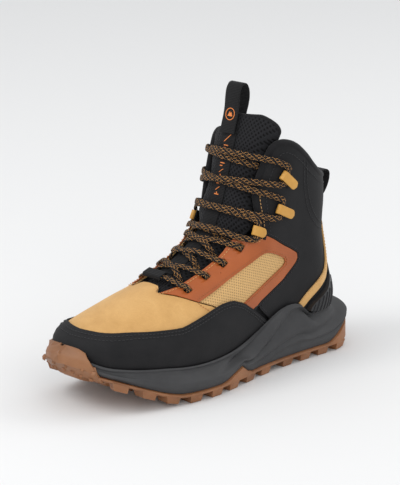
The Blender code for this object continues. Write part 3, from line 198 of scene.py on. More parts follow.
def looks():
    L = {}
    n = Net("wheat_suede", (0.62, 0.34, 0.12), 0.92, Sheen_Weight=0.35, Sheen_Roughness=0.5)
    n.b.inputs["Sheen Tint"].default_value = (1.0, 0.8, 0.55, 1)
    big, fine = n.noise(38, 4, 0.6, warp=0.6), n.noise(850, 2, 0.7)
    base = n.ramp(big, [(0.25, (0.56, 0.31, 0.095)), (0.55, (0.68, 0.395, 0.135)), (0.8, (0.75, 0.46, 0.175))])
    n.colour(n.mix(n.math("MULTIPLY", fine, 0.5), base, (0.44, 0.225, 0.08)))
    L["wheat_suede"] = n.bump((n.noise(260, 3, 0.6), 0.3, 0.5), (fine, 0.5, 0.35))
    n = Net("black_nubuck", (0.02, 0.02, 0.022), 0.75, Sheen_Weight=0.02, Specular_IOR_Level=0.22)
    big, fine = n.noise(60, 4), n.noise(1800, 2, 0.6)
    n.colour(n.ramp(big, [(0.3, (0.0075, 0.0075, 0.0085)), (0.7, (0.014, 0.0135, 0.0145))]))
    n.rough(big, 0.62, 0.8)
    L["black_nubuck"] = n.bump((n.noise(120, 4), 0.25, 0.5), (n.voronoi(1300), 0.3, 0.2), (fine, 0.35, 0.12))
    n = Net("tan_mesh", (0.5, 0.3, 0.1), 0.75)
    y, z = n.axis("Y"), n.axis("Z")
    p = n.math("ADD", n.math("MULTIPLY", y, 0.94), n.math("MULTIPLY", z, -0.34))
    q = n.math("ADD", n.math("MULTIPLY", y, 0.34), n.math("MULTIPLY", z, 0.94))
    hole = n.math("MULTIPLY", n.stripes(p, 0.0021), n.stripes(q, 0.0021))
    yarn = n.noise(2200, 2)
    cloth = n.ramp(yarn, [(0.3, (0.52, 0.31, 0.11)), (0.7, (0.74, 0.47, 0.20))])
    n.colour(n.mix(n.math("MULTIPLY", n.math("GREATER_THAN", hole, 0.5), 0.6), cloth, (0.2, 0.11, 0.04)))
    L["tan_mesh"] = n.bump((n.math("SUBTRACT", 1.0, hole), 0.8, 0.5), (yarn, 0.4, 0.15))
    n = Net("brown_film", (0.4, 0.13, 0.035), 0.38, Coat_Weight=0.04, Coat_Roughness=0.3, Specular_IOR_Level=0.4)
    y, z = n.axis("Y"), n.axis("Z")
    p = n.math("ADD", n.math("MULTIPLY", y, 0.94), n.math("MULTIPLY", z, -0.34))
    q = n.math("ADD", n.math("MULTIPLY", y, 0.34), n.math("MULTIPLY", z, 0.94))
    weave = n.math("MULTIPLY", n.stripes(p, 0.0021), n.stripes(q, 0.0021))
    show = n.math("MULTIPLY", n.math("MULTIPLY", n.math("SUBTRACT", y, 0.012), 14.0, clamp=True), 0.55)
    grain = n.noise(300, 4)
    film = n.ramp(n.noise(24, 3), [(0.3, (0.32, 0.072, 0.013)), (0.75, (0.43, 0.105, 0.022))])
    n.colour(n.mix(n.math("MULTIPLY", show, weave), film, (0.2, 0.07, 0.022)))
    n.rough(grain, 0.32, 0.5)
    L["brown_film"] = n.bump((weave, 0.12, 0.25), (grain, 0.25, 0.12))
    n = Net("black_knit", (0.016, 0.016, 0.018), 0.85, Sheen_Weight=0.04, Specular_IOR_Level=0.18)
    p, q = n.axis("Z"), n.math("ADD", n.axis("Y"), n.axis("X"))
    rib = n.math("MULTIPLY", n.stripes(p, 0.0016), n.stripes(q, 0.0016))
    n.colour(n.mix(rib, (0.006, 0.006, 0.007), (0.016, 0.0155, 0.017)))
    L["black_knit"] = n.bump((rib, 0.7, 0.35), (n.noise(2500, 2), 0.3, 0.1))
    n = Net("collar_cloth", (0.014, 0.014, 0.016), 0.8, Sheen_Weight=0.08, Specular_IOR_Level=0.18)
    w = n.noise(2000, 3)
    n.colour(n.ramp(n.noise(80, 3), [(0.3, (0.006, 0.006, 0.007)), (0.7, (0.012, 0.0115, 0.0125))]))
    L["collar_cloth"] = n.bump((n.voronoi(1500), 0.35, 0.2), (w, 0.3, 0.1))
    n = Net("tongue_mesh", (0.014, 0.014, 0.016), 0.8, Sheen_Weight=0.05, Specular_IOR_Level=0.18)
    x, z = n.axis("X"), n.math("ADD", n.axis("Z"), n.math("MULTIPLY", n.axis("Y"), 0.6))
    p, q = n.math("ADD", x, n.math("MULTIPLY", z, 0.6)), n.math("SUBTRACT", x, n.math("MULTIPLY", z, 0.6))
    dots = n.math("MULTIPLY", n.stripes(p, 0.0030), n.stripes(q, 0.0030))
    n.colour(n.mix(n.math("GREATER_THAN", dots, 0.42), (0.016, 0.016, 0.018), (0.003, 0.003, 0.0035)))
    L["tongue_mesh"] = n.bump((n.math("SUBTRACT", 1.0, dots), 0.9, 0.9), (n.noise(2600, 2), 0.3, 0.12))
    n = Net("grey_foam", (0.045, 0.045, 0.047), 0.66, Specular_IOR_Level=0.3)
    big = n.noise(30, 4)
    n.colour(n.ramp(big, [(0.3, (0.040, 0.040, 0.042)), (0.7, (0.058, 0.058, 0.060))]))
    L["grey_foam"] = n.bump((n.noise(900, 3), 0.25, 0.15), (n.voronoi(2600), 0.12, 0.08))
    n = Net("grey_tpu", (0.017, 0.017, 0.019), 0.42, Specular_IOR_Level=0.3)
    L["grey_tpu"] = n.bump((n.noise(700, 3), 0.2, 0.1))
    n = Net("gum_rubber", (0.33, 0.125, 0.05), 0.5, Subsurface_Weight=0.05)
    big = n.noise(26, 4, warp=0.5)
    n.colour(n.ramp(big, [(0.25, (0.18, 0.072, 0.027)), (0.6, (0.27, 0.112, 0.044)), (0.85, (0.34, 0.15, 0.065))]))
    n.rough(big, 0.42, 0.6)
    L["gum_rubber"] = n.bump((n.noise(180, 3), 0.25, 0.4), (n.voronoi(1500), 0.25, 0.15))
    n = Net("black_webbing", (0.015, 0.015, 0.017), 0.8, Sheen_Weight=0.04, Specular_IOR_Level=0.18)
    z = n.math("ADD", n.axis("Z"), n.math("MULTIPLY", n.axis("Y"), 0.5))
    ribs, cross = n.stripes(z, 0.0014), n.stripes(n.axis("X"), 0.0011)
    n.colour(n.mix(ribs, (0.006, 0.006, 0.0065), (0.017, 0.0165, 0.0175)))
    L["black_webbing"] = n.bump((ribs, 0.6, 0.4), (cross, 0.3, 0.2), (n.noise(2400, 2), 0.2, 0.1))
    n = Net("tan_coated", (0.55, 0.29, 0.05), 0.48, Coat_Weight=0.1)
    n.colour(n.ramp(n.noise(90, 3), [(0.3, (0.52, 0.25, 0.035)), (0.7, (0.62, 0.32, 0.055))]))
    L["tan_coated"] = n.bump((n.noise(600, 3), 0.3, 0.2))
    n = Net("black_lace", (0.02, 0.018, 0.017), 0.8, Sheen_Weight=0.05, Specular_IOR_Level=0.18)
    uv = n.mapped((1, 1, 1), uv=True)
    u, v = n.axis("X", uv), n.axis("Y", uv)
    fleck = None
    for sgn in (1, -1):
        d = n.math("ADD", n.math("MULTIPLY", u, 1.0), n.math("MULTIPLY", v, sgn * 0.95))
        w = n.math("ABSOLUTE", n.math("SUBTRACT", n.math("FRACT", d), 0.5))
        one = n.math("LESS_THAN", w, 0.05)
        fleck = one if fleck is None else n.math("MAXIMUM", fleck, one)
    dash = n.math("GREATER_THAN", n.math("FRACT", n.math("MULTIPLY", n.math("ADD", u, n.math("MULTIPLY", v, 1.7)), 1.37)), 0.42)
    fleck = n.math("MULTIPLY", fleck, dash)
    braid = n.math("MULTIPLY", n.stripes(n.math("ADD", u, n.math("MULTIPLY", v, 0.5)), 0.125), n.stripes(n.math("SUBTRACT", u, n.math("MULTIPLY", v, 0.5)), 0.125))
    dark = n.mix(braid, (0.008, 0.008, 0.009), (0.024, 0.022, 0.022))
    n.colour(n.mix(fleck, dark, (0.78, 0.38, 0.11)))
    L["black_lace"] = n.bump((braid, 0.7, 0.35))
    n = Net("grey_board", (0.25, 0.24, 0.22), 0.9)
    L["grey_board"] = n.bump((n.noise(600, 3), 0.3, 0.2))
    for name, col in (("black_thread", (0.016, 0.016, 0.018)), ("tan_thread", (0.6, 0.33, 0.12)), ("orange_print", (0.75, 0.22, 0.045)),
                      ("brown_thread", (0.36, 0.12, 0.035))):
        n = Net(name, col, 0.6)
        L[name] = n.bump((n.noise(2500, 2), 0.4, 0.1))
    n = Net("studio_floor", (0.82, 0.82, 0.82), 0.9, Specular_IOR_Level=0.1)
    L["studio_floor"] = n.m
    return L


LOOKS = looks()

# ------------------------------------------------------------------ side-view profiles (Y, Z)
TOP = [(-145, 48), (-140.3, 53.5), (-132.5, 59), (-121, 64.6), (-100, 74), (-78, 82), (-58, 87.5), (-40, 93.5),
       (-22, 101.5), (-6, 111), (4, 121), (11.5, 133), (17, 147), (21.5, 162), (26, 178), (31, 195), (36, 210),
       (42, 228), (50, 250)]
BACK = [(130, 24), (133.5, 44), (135.5, 62), (135, 78), (132.6, 92), (131, 104), (132, 116), (133.6, 128),
        (134, 140), (133, 152), (132, 165), (131, 190), (131, 215)]
TIP = [(-139, 22), (-141.5, 36), (-142.6, 44), (-142.6, 52), (-140, 70)]
FEATHER = [(-140.5, 40), (-124, 34), (-100, 28.5), (-72, 25), (-40, 24.5), (0, 27), (40, 31.5), (80, 34), (132.5, 34)]

# half widths, lateral and medial: a row per height of ZS, a column per station of YS
YS = [-150, -120, -90, -60, -30, 0, 30, 60, 90, 120, 150]
ZS = [20, 45, 70, 95, 120, 145, 170, 195, 230]
W_LATERAL = [[45, 46, 49, 51, 50, 46, 42, 40, 39.5, 38.5, 37.5],
             [46, 47, 50, 52, 51, 47, 43, 40.5, 40, 39, 38],
             [44, 46, 49, 50, 49.5, 46.5, 43.5, 41.5, 40.5, 39, 38],
             [40, 42, 44, 45, 45, 43.5, 41.5, 40, 39, 38, 37],
             [36, 37, 38, 40, 41, 41, 40, 39, 38, 37, 36],
             [35, 36, 37, 38, 39, 40, 40, 39.5, 39, 38, 37],
             [36, 36, 37, 38, 40, 41, 41.5, 41.5, 41, 40, 39],
             [38, 38, 39, 40, 41, 42, 42.5, 42.5, 42, 41, 40],
             [40, 40, 40, 40, 41, 42, 43, 43, 42.5, 42, 41]]
W_MEDIAL = [[40, 44.5, 46.5, 44, 40, 36, 34.5, 35, 36.5, 37, 37],
            [37.5, 42.5, 47, 46, 42, 38, 36, 36.5, 37.5, 38, 38],
            [36.5, 41, 45.5, 46, 44, 41, 39, 39, 39, 38.5, 38],
            [41, 43, 44, 44, 43, 41.5, 40, 39.5, 38.5, 37.5, 37],
            [36, 37, 38, 40, 41, 41, 40, 39, 38, 37, 36],
            [35, 36, 37, 38, 39, 40, 40, 39.5, 39, 38, 37],
            [36, 36, 37, 38, 40, 41, 41.5, 41.5, 41, 40, 39],
            [38, 38, 39, 40, 41, 42, 42.5, 42.5, 42, 41, 40],
            [40, 40, 40, 40, 41, 42, 43, 43, 42.5, 42, 41]]

# ------------------------------------------------------------------ layer offsets from the master surface
LINING = (-6.2, -3.6)
QUARTER = (-3.2, -2.0)
VAMP = (-3.2, -1.6)
ANKLE = (-3.2, -0.9)
FILM = (-1.6, -0.8)
MUDGUARD = (-1.2, 0.3)
HEEL = (-0.5, 0.4)
STRIPE = (-0.5, 0.7)
TONGUE_T = 4.5          # tongue thickness
TONGUE_IN = -9.4        # tongue face where it runs under the quarters
TONGUE_OUT = -2.5       # tongue face in the middle of the throat
GAP = 0.5               # between neighbouring panels

# ------------------------------------------------------------------ panel outlines in the side view (Y, Z)
FRONT_EDGE = [(-46, 87), (-24, 94), (-11, 100), (4, 109), (11, 115), (16, 117.5), (23, 116.5), (29, 113.5),
              (33, 113.5), (36, 118), (36, 125), (35, 135), (34.3, 143), (34.2, 150), (36, 159), (39, 167),
              (42, 174), (46, 182), (50, 187.5), (56, 190), (63, 189), (71, 185.5), (82, 177), (94, 166),
              (107, 157), (120, 152), (140, 149.5)]
VAMP_BACK = [(-61.5, 90), (-61.5, 84), (-52, 82), (-39, 76), (-27, 71), (-12, 60), (0, 46), (10, 20)]
ANKLE_FRONT = [(36, 118), (47, 112), (58, 105), (68, 99.5), (75, 95), (76.5, 91), (74, 87), (70, 84), (56, 75),
               (33, 65), (23, 61), (29, 55), (40, 45), (52, 30), (54, 10)]
MUD_LATERAL = [(-160, 62.5), (-119, 62.5), (-107, 63.3), (-89, 62), (-64, 61), (-42, 66), (-22, 71), (-8, 72),
               (5, 67), (21, 56), (35, 45), (47, 34), (50, 20)]
MUD_MEDIAL = [(-160, 62.5), (-119, 62.5), (-107, 59), (-89, 57), (-64, 56), (-40, 57.5), (-20, 57), (0, 52),
              (20, 43), (34, 33), (40, 20)]
WINDOW = [(-39, 76), (-20, 81.5), (-1, 88.5), (18, 95.5), (35, 102), (41, 101.5), (52, 97), (60, 92.5),
          (60.5, 88), (42, 80.5), (22, 72.5), (5, 66), (-10, 62), (-30, 68)]
STRIPE_FRONT = [(60, 38), (72.5, 47), (85, 57), (98, 64.5), (111, 71.5), (116, 79), (119.3, 89), (121.7, 101),
                (124.5, 109), (129, 112.5), (150, 114)]
STRIPE_BACK = [(74, 38), (82, 46), (90, 51.5), (101, 57.5), (114, 64.5), (120.5, 73), (124.2, 87), (126, 98),
               (128, 104), (131, 106.5), (150, 107)]

# ------------------------------------------------------------------ sole
SOLE_TOP = [(-145, 47), (-136, 43), (-127, 38.5), (-113, 36), (-86, 33), (-66, 30), (-48, 28.5), (-25, 28.5),
            (-5, 30.5), (15, 37), (35, 45), (48, 50), (60, 52.5), (72, 51.5), (79, 48.5), (85, 41.5), (95, 39.5),
            (115, 39.5), (140, 42)]
GROUND = [(-150, 34), (-143, 30), (-132, 23), (-118, 17.5), (-100, 10), (-85, 4.2), (-72, 0.8), (-62, 0),
          (125, 0), (140, 2.0), (150, 5), (160, 9)]
SOLE_LAT = [(-147, 39), (-120, 46), (-95, 52), (-65, 57), (-35, 58.5), (-5, 54.5), (25, 49), (55, 46), (90, 45.5),
            (125, 46), (158, 44)]
SOLE_MED = [(-147, 37.5), (-120, 45.5), (-95, 51.5), (-65, 53), (-35, 48.5), (-5, 43), (25, 40.5), (55, 41),
            (90, 43), (125, 43), (158, 41)]
SOLE_FRONT, SOLE_BACK = -145.5, 155.5
LUG = 5.0               # lug height
PLATE = 3.2             # outsole plate above the lugs


# ------------------------------------------------------------------ numeric helpers
def spline(pts, n):
    """Catmull-Rom through the points, resampled to n points at even steps."""
    P = np.asarray(pts, float)
    P = np.vstack([2 * P[0] - P[1], P, 2 * P[-1] - P[-2]])
    t = np.linspace(0, 1, 24, endpoint=False)[:, None]
    out = []
    for i in range(1, len(P) - 2):
        p0, p1, p2, p3 = P[i - 1:i + 3]
        d1, d2, d3 = [max(np.linalg.norm(b - a), 1e-9) ** 0.5 for a, b in ((p0, p1), (p1, p2), (p2, p3))]
        m1 = (p2 - p1) + d2 * ((p1 - p0) / d1 - (p2 - p0) / (d1 + d2))
        m2 = (p2 - p1) + d2 * ((p3 - p2) / d3 - (p3 - p1) / (d2 + d3))
        out.append((2 * t**3 - 3 * t**2 + 1) * p1 + (t**3 - 2 * t**2 + t) * m1 + (-2 * t**3 + 3 * t**2) * p2 + (t**3 - t**2) * m2)
    out.append(P[-2][None])
    Q = np.vstack(out)
    return resample(Q, np.linspace(0, 1, n))


def resample(Q, f):
    L = np.concatenate([[0], np.cumsum(np.linalg.norm(np.diff(Q, axis=0), axis=1))])
    return np.stack([np.interp(np.asarray(f) * L[-1], L, Q[:, k]) for k in range(Q.shape[1])], -1)


def pdist(poly, Y, Z, arc=False):
    """Distance to an open polyline, positive on its right; with arc, also the arc length of the nearest point."""
    poly = np.asarray(poly, float)
    a, d = poly[:-1], np.diff(poly, axis=0)
    L2 = (d**2).sum(1)
    S = np.concatenate([[0], np.cumsum(np.sqrt(L2))])
    P = np.stack([np.asarray(Y, float), np.asarray(Z, float)], -1)
    best = np.full(P.shape[:-1], 1e18)
    sg = np.ones(P.shape[:-1])
    sa = np.zeros(P.shape[:-1])
    for i in range(len(a)):
        v = P - a[i]
        t = np.clip((v @ d[i]) / L2[i], 0, 1)
        q = ((v - t[..., None] * d[i]) ** 2).sum(-1)
        c = d[i][0] * v[..., 1] - d[i][1] * v[..., 0]
        m = q < best
        best, sg = np.where(m, q, best), np.where(m, np.where(c > 0, -1.0, 1.0), sg)
        sa = np.where(m, S[i] + t * np.sqrt(L2[i]), sa)
    D = np.sqrt(best) * sg
    return (D, sa) if arc else D


def spoly(poly, Y, Z):
    """Distance to a closed polygon, positive inside."""
    poly = np.asarray(poly, float)
    loop = np.vstack([poly, poly[:1]])
    D = np.abs(pdist(loop, Y, Z))
    inside = np.zeros(np.shape(Y), bool)
    for (y0, z0), (y1, z1) in zip(loop[:-1], loop[1:]):
        if z0 == z1:
            continue
        hit = ((z0 > Z) != (z1 > Z)) & (Y < (y1 - y0) * (Z - z0) / (z1 - z0) + y0)
        inside ^= hit
    return np.where(inside, D, -D)


def cubic(xs, ys, x):
    xs, ys = np.asarray(xs, float), np.asarray(ys, float)
    x = np.clip(x, xs[0], xs[-1])
    i = np.clip(np.searchsorted(xs, x, side="right") - 1, 0, len(xs) - 2)
    m = np.gradient(ys, xs)
    h = xs[i + 1] - xs[i]
    t = (x - xs[i]) / h
    return (2 * t**3 - 3 * t**2 + 1) * ys[i] + (t**3 - 2 * t**2 + t) * h * m[i] + (-2 * t**3 + 3 * t**2) * ys[i + 1] + (t**3 - t**2) * h * m[i + 1]


def cubic2(T, Y, Z):
    rows = np.stack([cubic(YS, r, Y) for r in T], -1)
    zs = np.asarray(ZS, float)
    Z = np.clip(Z, zs[0], zs[-1])
    i = np.clip(np.searchsorted(zs, Z, side="right") - 1, 0, len(zs) - 2)
    m = np.gradient(rows, zs, axis=-1)
    h = zs[i + 1] - zs[i]
    t = (Z - zs[i]) / h

    def at(A, j):
        return np.take_along_axis(A, j[..., None], -1)[..., 0]

    return (2 * t**3 - 3 * t**2 + 1) * at(rows, i) + (t**3 - 2 * t**2 + t) * h * at(m, i) + (-2 * t**3 + 3 * t**2) * at(rows, i + 1) + (t**3 - t**2) * h * at(m, i + 1)


def smooth(x, a, b):
    t = np.clip((x - a) / (b - a), 0, 1)
    return t * t * (3 - 2 * t)


# ------------------------------------------------------------------ master surface
top, back, tip, feather = spline(TOP, 150), spline(BACK, 70), spline(TIP, 24), spline(FEATHER, 80)


def centre(Y):
    """Sweep of the foot's centre line toward the medial side at the toe."""
    return cubic([-160, -140, -110, -80, -50, 0, 150], [-10, -8.5, -5.5, -2.5, -0.5, 0, 0], Y)


def feather_z(Y):
    return np.interp(Y, feather[:, 0], feather[:, 1])


def width(Y, Z, side):
    Y, Z = np.asarray(Y, float), np.asarray(Z, float)
    w = cubic2(W_LATERAL if side > 0 else W_MEDIAL, Y, Z)
    dt, db, dp = pdist(top, Y, Z), -pdist(back, Y, Z), -pdist(tip[::-1], Y, Z)
    rt = cubic([-150, -140, -128, -116, -104, -90, -50, -20, 0, 20, 50], [13, 14, 17, 21.5, 28, 36, 44, 47, 47, 46, 46], Y)
    rb = cubic([20, 60, 90, 120, 150, 180, 230], [36, 38, 38, 40, 46, 48, 48], Z)
    at, ab, ap = np.clip(1 - dt / rt, 0, None), np.clip(1 - db / rb, 0, None), np.clip(1 - dp / 50.0, 0, None)
    low = np.clip(1 - (Z - feather_z(Y)) / 13.0, 0, 1.3)
    nose = (at**6.6 + ap**6.3) ** (1 / 3)
    return w * np.sqrt(np.clip(1 - nose - ab**2.1, 0, None)) * (1 - 0.075 * low**2)


NV, NU = 46, 66         # rings from the feather line up, columns from toe to heel on each side


def sagittal_grid():
    front = np.vstack([[(-141.4, 40)], [(-141.8, 44)], [(-140.8, 48.5)], [(-138.0, 53)], top[top[:, 0] > -134]])
    front = front[front[:, 1] <= 225]
    rear = back[(back[:, 1] >= 34) & (back[:, 1] <= 162)]
    v = np.linspace(0, 1, NV + 1)
    F, B = resample(front, v * 0.82 + 0.18 * v**2), resample(rear, v)
    th = np.linspace(0, 1, NU + 1)
    t = 0.25 * th + 0.75 * (1 - np.cos(np.pi * th)) / 2
    G = F[:, None] * (1 - t)[None, :, None] + B[:, None] * t[None, :, None]
    sag = feather_z(G[0, :, 0]) - G[0, :, 1]
    sag[0] = sag[-1] = 0
    G[:, :, 1] += sag[None, :] * ((1 - v) ** 2.0)[:, None]
    return G


class Sheet:
    """A triangulated piece of the master surface: points P, offset directions N, triangles T."""

    def __init__(self, P, N, T):
        self.P, self.N, self.T = P, N, T

    def fields(self):
        X, Y, Z = self.P.T
        return X - centre(Y), Y, Z

    def split(self):
        """Each triangle into four, in its own plane."""
        E = np.sort(np.concatenate([self.T[:, [0, 1]], self.T[:, [1, 2]], self.T[:, [2, 0]]]), axis=1)
        U, inv = np.unique(E, axis=0, return_inverse=True)
        inv = inv.reshape(-1) + len(self.P)
        n = len(self.T)
        a, b, c = self.T.T
        ab, bc, ca = inv[:n], inv[n:2 * n], inv[2 * n:]
        T = np.concatenate([np.stack(k, 1) for k in ((a, ab, ca), (b, bc, ab), (c, ca, bc), (ab, bc, ca))])
        return Sheet(np.vstack([self.P, self.P[U].mean(1)]), np.vstack([self.N, self.N[U].mean(1)]), T)

    def clip(self, f):
        """The part where f is positive."""
        f = np.asarray(f, float)
        near = np.full(len(f), np.inf)
        for a, b in ((0, 1), (1, 2), (2, 0)):
            np.minimum.at(near, self.T[:, a], f[self.T[:, b]])
            np.minimum.at(near, self.T[:, b], f[self.T[:, a]])
        f = np.where((f < 0) & (near > 0.25) & np.isfinite(near), near, f)
        f = np.where(np.abs(f) < 0.04, np.where(f < 0, -0.04, 0.04), f)
        s = f[self.T] > 0
        keep = [self.T[s.all(1)]]
        P, N, new = [self.P], [self.N], {}
        n0 = len(self.P)

        def cut(i, j):
            k = (min(i, j), max(i, j))
            if k not in new:
                i, j = k
                t = f[i] / (f[i] - f[j])
                new[k] = n0 + len(new)
                P.append((self.P[i] + t * (self.P[j] - self.P[i]))[None])
                N.append((self.N[i] + t * (self.N[j] - self.N[i]))[None])
            return new[k]

        extra = []
        for tri, sign in zip(self.T[s.any(1) & ~s.all(1)], s[s.any(1) & ~s.all(1)]):
            if sign.sum() == 1:
                k = int(np.argmax(sign))
                a, b, c = tri[k], tri[(k + 1) % 3], tri[(k + 2) % 3]
                extra.append((a, cut(a, b), cut(a, c)))
            else:
                k = int(np.argmin(sign))
                a, b, c = tri[k], tri[(k + 1) % 3], tri[(k + 2) % 3]
                ab, ac = cut(a, b), cut(a, c)
                extra += [(b, c, ab), (c, ac, ab)]
        T = np.concatenate(keep + ([np.array(extra)] if extra else []))
        P, N = np.vstack(P), np.vstack(N)
        used = np.unique(T)
        m = np.full(len(P), -1)
        m[used] = np.arange(len(used))
        return Sheet(P[used], N[used], m[T])

    def biggest(self):
        """Only the largest connected piece."""
        lab = np.arange(len(self.P))
        while True:
            low = lab[self.T].min(1)
            new = lab.copy()
            for k in range(3):
                np.minimum.at(new, self.T[:, k], low)
            new = new[new]
            if (new == lab).all():
                break
            lab = new
        ids, cnt = np.unique(lab[self.T[:, 0]], return_counts=True)
        T = self.T[lab[self.T[:, 0]] == ids[np.argmax(cnt)]]
        used = np.unique(T)
        m = np.full(len(self.P), -1)
        m[used] = np.arange(len(used))
        return Sheet(self.P[used], self.N[used], m[T])

    def thick(self, low, high):
        """Closed mesh between the two offsets (numbers or one per point)."""
        low, high = [np.broadcast_to(np.asarray(v, float), (len(self.P),))[:, None] for v in (low, high)]
        V = np.vstack([self.P + self.N * high, self.P + self.N * low])
        n = len(self.P)
        E = np.concatenate([self.T[:, [0, 1]], self.T[:, [1, 2]], self.T[:, [2, 0]]])
        key = np.sort(E, axis=1)
        _, inv, cnt = np.unique(key, axis=0, return_inverse=True, return_counts=True)
        B = E[cnt[inv.reshape(-1)] == 1]
        walls = np.concatenate([np.stack([B[:, 1], B[:, 0], B[:, 0] + n], 1), np.stack([B[:, 1], B[:, 0] + n, B[:, 1] + n], 1)])
        return V, np.concatenate([self.T, self.T[:, ::-1] + n, walls])


def master():
    G = sagittal_grid()
    ids = {}
    P = []
    for side in (1, -1):
        w = width(G[..., 0], G[..., 1], side)
        w[:, 0] = w[:, -1] = 0
        for i in range(NV + 1):
            for j in range(NU + 1):
                if side < 0 and j in (0, NU):
                    ids[side, i, j] = ids[1, i, j]
                    continue
                ids[side, i, j] = len(P)
                P.append((centre(G[i, j, 0]) + side * w[i, j], G[i, j, 0], G[i, j, 1]))
    P = np.array(P, float)
    T = []
    for side in (1, -1):
        for i in range(NV):
            for j in range(NU):
                q = [ids[side, i, j], ids[side, i, j + 1], ids[side, i + 1, j + 1], ids[side, i + 1, j]]
                q = q if side > 0 else q[::-1]
                T += [(q[0], q[1], q[2]), (q[0], q[2], q[3])]
    T = np.array(T)
    N = np.zeros_like(P)
    fn = np.cross(P[T[:, 1]] - P[T[:, 0]], P[T[:, 2]] - P[T[:, 0]])
    for k in range(3):
        np.add.at(N, T[:, k], fn)
    N /= np.linalg.norm(N, axis=1, keepdims=True)
    foot = [ids[side, 0, j] for side in (1, -1) for j in range(NU + 1)]
    N[foot, 2] = 0
    N /= np.linalg.norm(N, axis=1, keepdims=True)
    return Sheet(P, N, T)


BASE = master()
HALF = FINE = BASE


# ------------------------------------------------------------------ regions, in mm of distance, positive inside
def throat_half(Y):
    return np.interp(Y, [-62, -46, -24, -11, 4, 12], [17, 21, 22.5, 23.5, 25, 25.5])


shell_poly = [(-46, -40)] + FRONT_EDGE + [(160, 149), (160, -40)]


def in_shell(X, Y, Z):
    """Where the quarters and the lining are: outside the throat, below the top line."""
    x = np.abs(X)
    base = -55.5 - 6 * np.clip((x - 9) / 8, 0, 1)
    low = np.maximum(x - throat_half(Y), base - Y)
    high = spoly(shell_poly, Y, Z)
    k = smooth(Y, -2, 8)
    return np.where(Z < 60, 30.0, (1 - k) * np.clip(low, -30, 30) + k * np.clip(high, -30, 30))


def behind(line, Y, Z):
    """Positive on the heel side of a line drawn from the top down."""
    return -pdist(line, Y, Z)


def in_mudguard(X, Y, Z):
    return np.where(X > 0, pdist(MUD_LATERAL, Y, Z), pdist(MUD_MEDIAL, Y, Z))


def ankle_field(Y, Z):
    line = [(36, 300)] + ANKLE_FRONT
    return behind(line, Y, Z)


def tongue_face(S):
    """Offset of the tongue's outer face: proud in the throat, deep under the quarters."""
    X, Y, Z = S.fields()
    return TONGUE_IN + (TONGUE_OUT - TONGUE_IN) * smooth(-in_shell(X, Y, Z), -1.0, 15.0)


top_line = top


def along(Y, Z):
    return pdist(top_line, Y, Z, arc=True)[1]


# ------------------------------------------------------------------ objects and materials
def material(name, colour, rough=0.6, metal=0.0):
    return LOOKS[name]


SUEDE = material("wheat_suede", (0.62, 0.36, 0.13), 0.9)
BLACK = material("black_nubuck", (0.022, 0.021, 0.023), 0.75)
MESH = material("tan_mesh", (0.55, 0.33, 0.12), 0.8)
BROWN = material("brown_film", (0.42, 0.14, 0.045), 0.4)
KNIT = material("black_knit", (0.018, 0.018, 0.02), 0.85)
EVA = material("grey_foam", (0.05, 0.052, 0.056), 0.65)
TPU = material("grey_tpu", (0.04, 0.041, 0.045), 0.45)
RUBBER = material("gum_rubber", (0.3, 0.12, 0.055), 0.55)
WEB = material("black_webbing", (0.02, 0.02, 0.022), 0.8)
TAN = material("tan_coated", (0.55, 0.29, 0.05), 0.5)
CORD = material("black_lace", (0.03, 0.027, 0.025), 0.8)
BOARD = material("grey_board", (0.25, 0.24, 0.22), 0.9)


def raw(name, V, F, mat):
    me = bpy.data.meshes.new(name)
    me.from_pydata([tuple(v) for v in (np.asarray(V, float) - ORIGIN) * MM], [], [tuple(int(i) for i in f) for f in F])
    me.validate()
    me.materials.append(mat)
    me.polygons.foreach_set("use_smooth", [True] * len(me.polygons))
    me.set_sharp_from_angle(angle=math.radians(SHARP.get(name, 38)))
    ob = bpy.data.objects.new("look_" + name, me)
    bpy.context.scene.collection.objects.link(ob)
    return ob


def make(name, V, F, mat):
    ob = raw(name, V, F, mat)
    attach(ob, BODY.get(name, "boot"))
    if name in frame["nodes"]:
        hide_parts(name)
    MADE[name] = ob
    return ob


def panel(name, sheet, offsets, mat):
    V, F = sheet.biggest().thick(*offsets)
    return make(name, V, F, mat)


def cutter(name, V, F):
    ob = raw(name, V, F, BLACK)
    ob.hide_render = True
    ob.hide_viewport = False
    CUTTERS.append(ob)
    ob.display_type = "WIRE"
    return ob


def boolean(ob, other, op):
    m = ob.modifiers.new(op.lower() + "_" + other.name, "BOOLEAN")
    m.operation, m.solver, m.object = op, "EXACT", other
    return m


def prism(profile, origin, u, n, t, half):
    """Extrudes a closed profile of (u, n) points by half to each side along t."""
    origin, u, n, t = [np.asarray(v, float) for v in (origin, u, n, t)]
    a = np.array([origin + p * u + q * n - half * t for p, q in profile])
    b = a + 2 * half * t
    k = len(profile)
    F = [list(range(k))[::-1], [k + i for i in range(k)]] + [[i, (i + 1) % k, k + (i + 1) % k, k + i] for i in range(k)]
    V = np.vstack([a, b])
    # facing out: the profile's turn and the frame's hand decide the order
    area = 0.5 * sum(profile[i][0] * profile[(i + 1) % k][1] - profile[(i + 1) % k][0] * profile[i][1] for i in range(k))
    if area * np.dot(np.cross(u, n), t) < 0:
        F = [f[::-1] for f in F]
    return V, F


# ------------------------------------------------------------------ sole
def plan_half(Y, side, grow=0.0):
    tab = np.array(SOLE_LAT if side > 0 else SOLE_MED, float)
    w = cubic(tab[:, 0], tab[:, 1], Y) + grow
    af = np.clip(1 - (Y - (SOLE_FRONT - grow)) / 40.0, 0, None)
    ab = np.clip(1 - ((SOLE_BACK + grow) - Y) / 36.0, 0, None)
    return w * np.sqrt(np.clip(1 - af**2.4 - ab**2.3, 0, None))


def ground_z(Y):
    g = np.array(GROUND, float)
    return np.interp(Y, g[:, 0], g[:, 1])


def sole_top_z(Y):
    g = spline(SOLE_TOP, 120)
    return np.interp(Y, g[:, 0], g[:, 1])


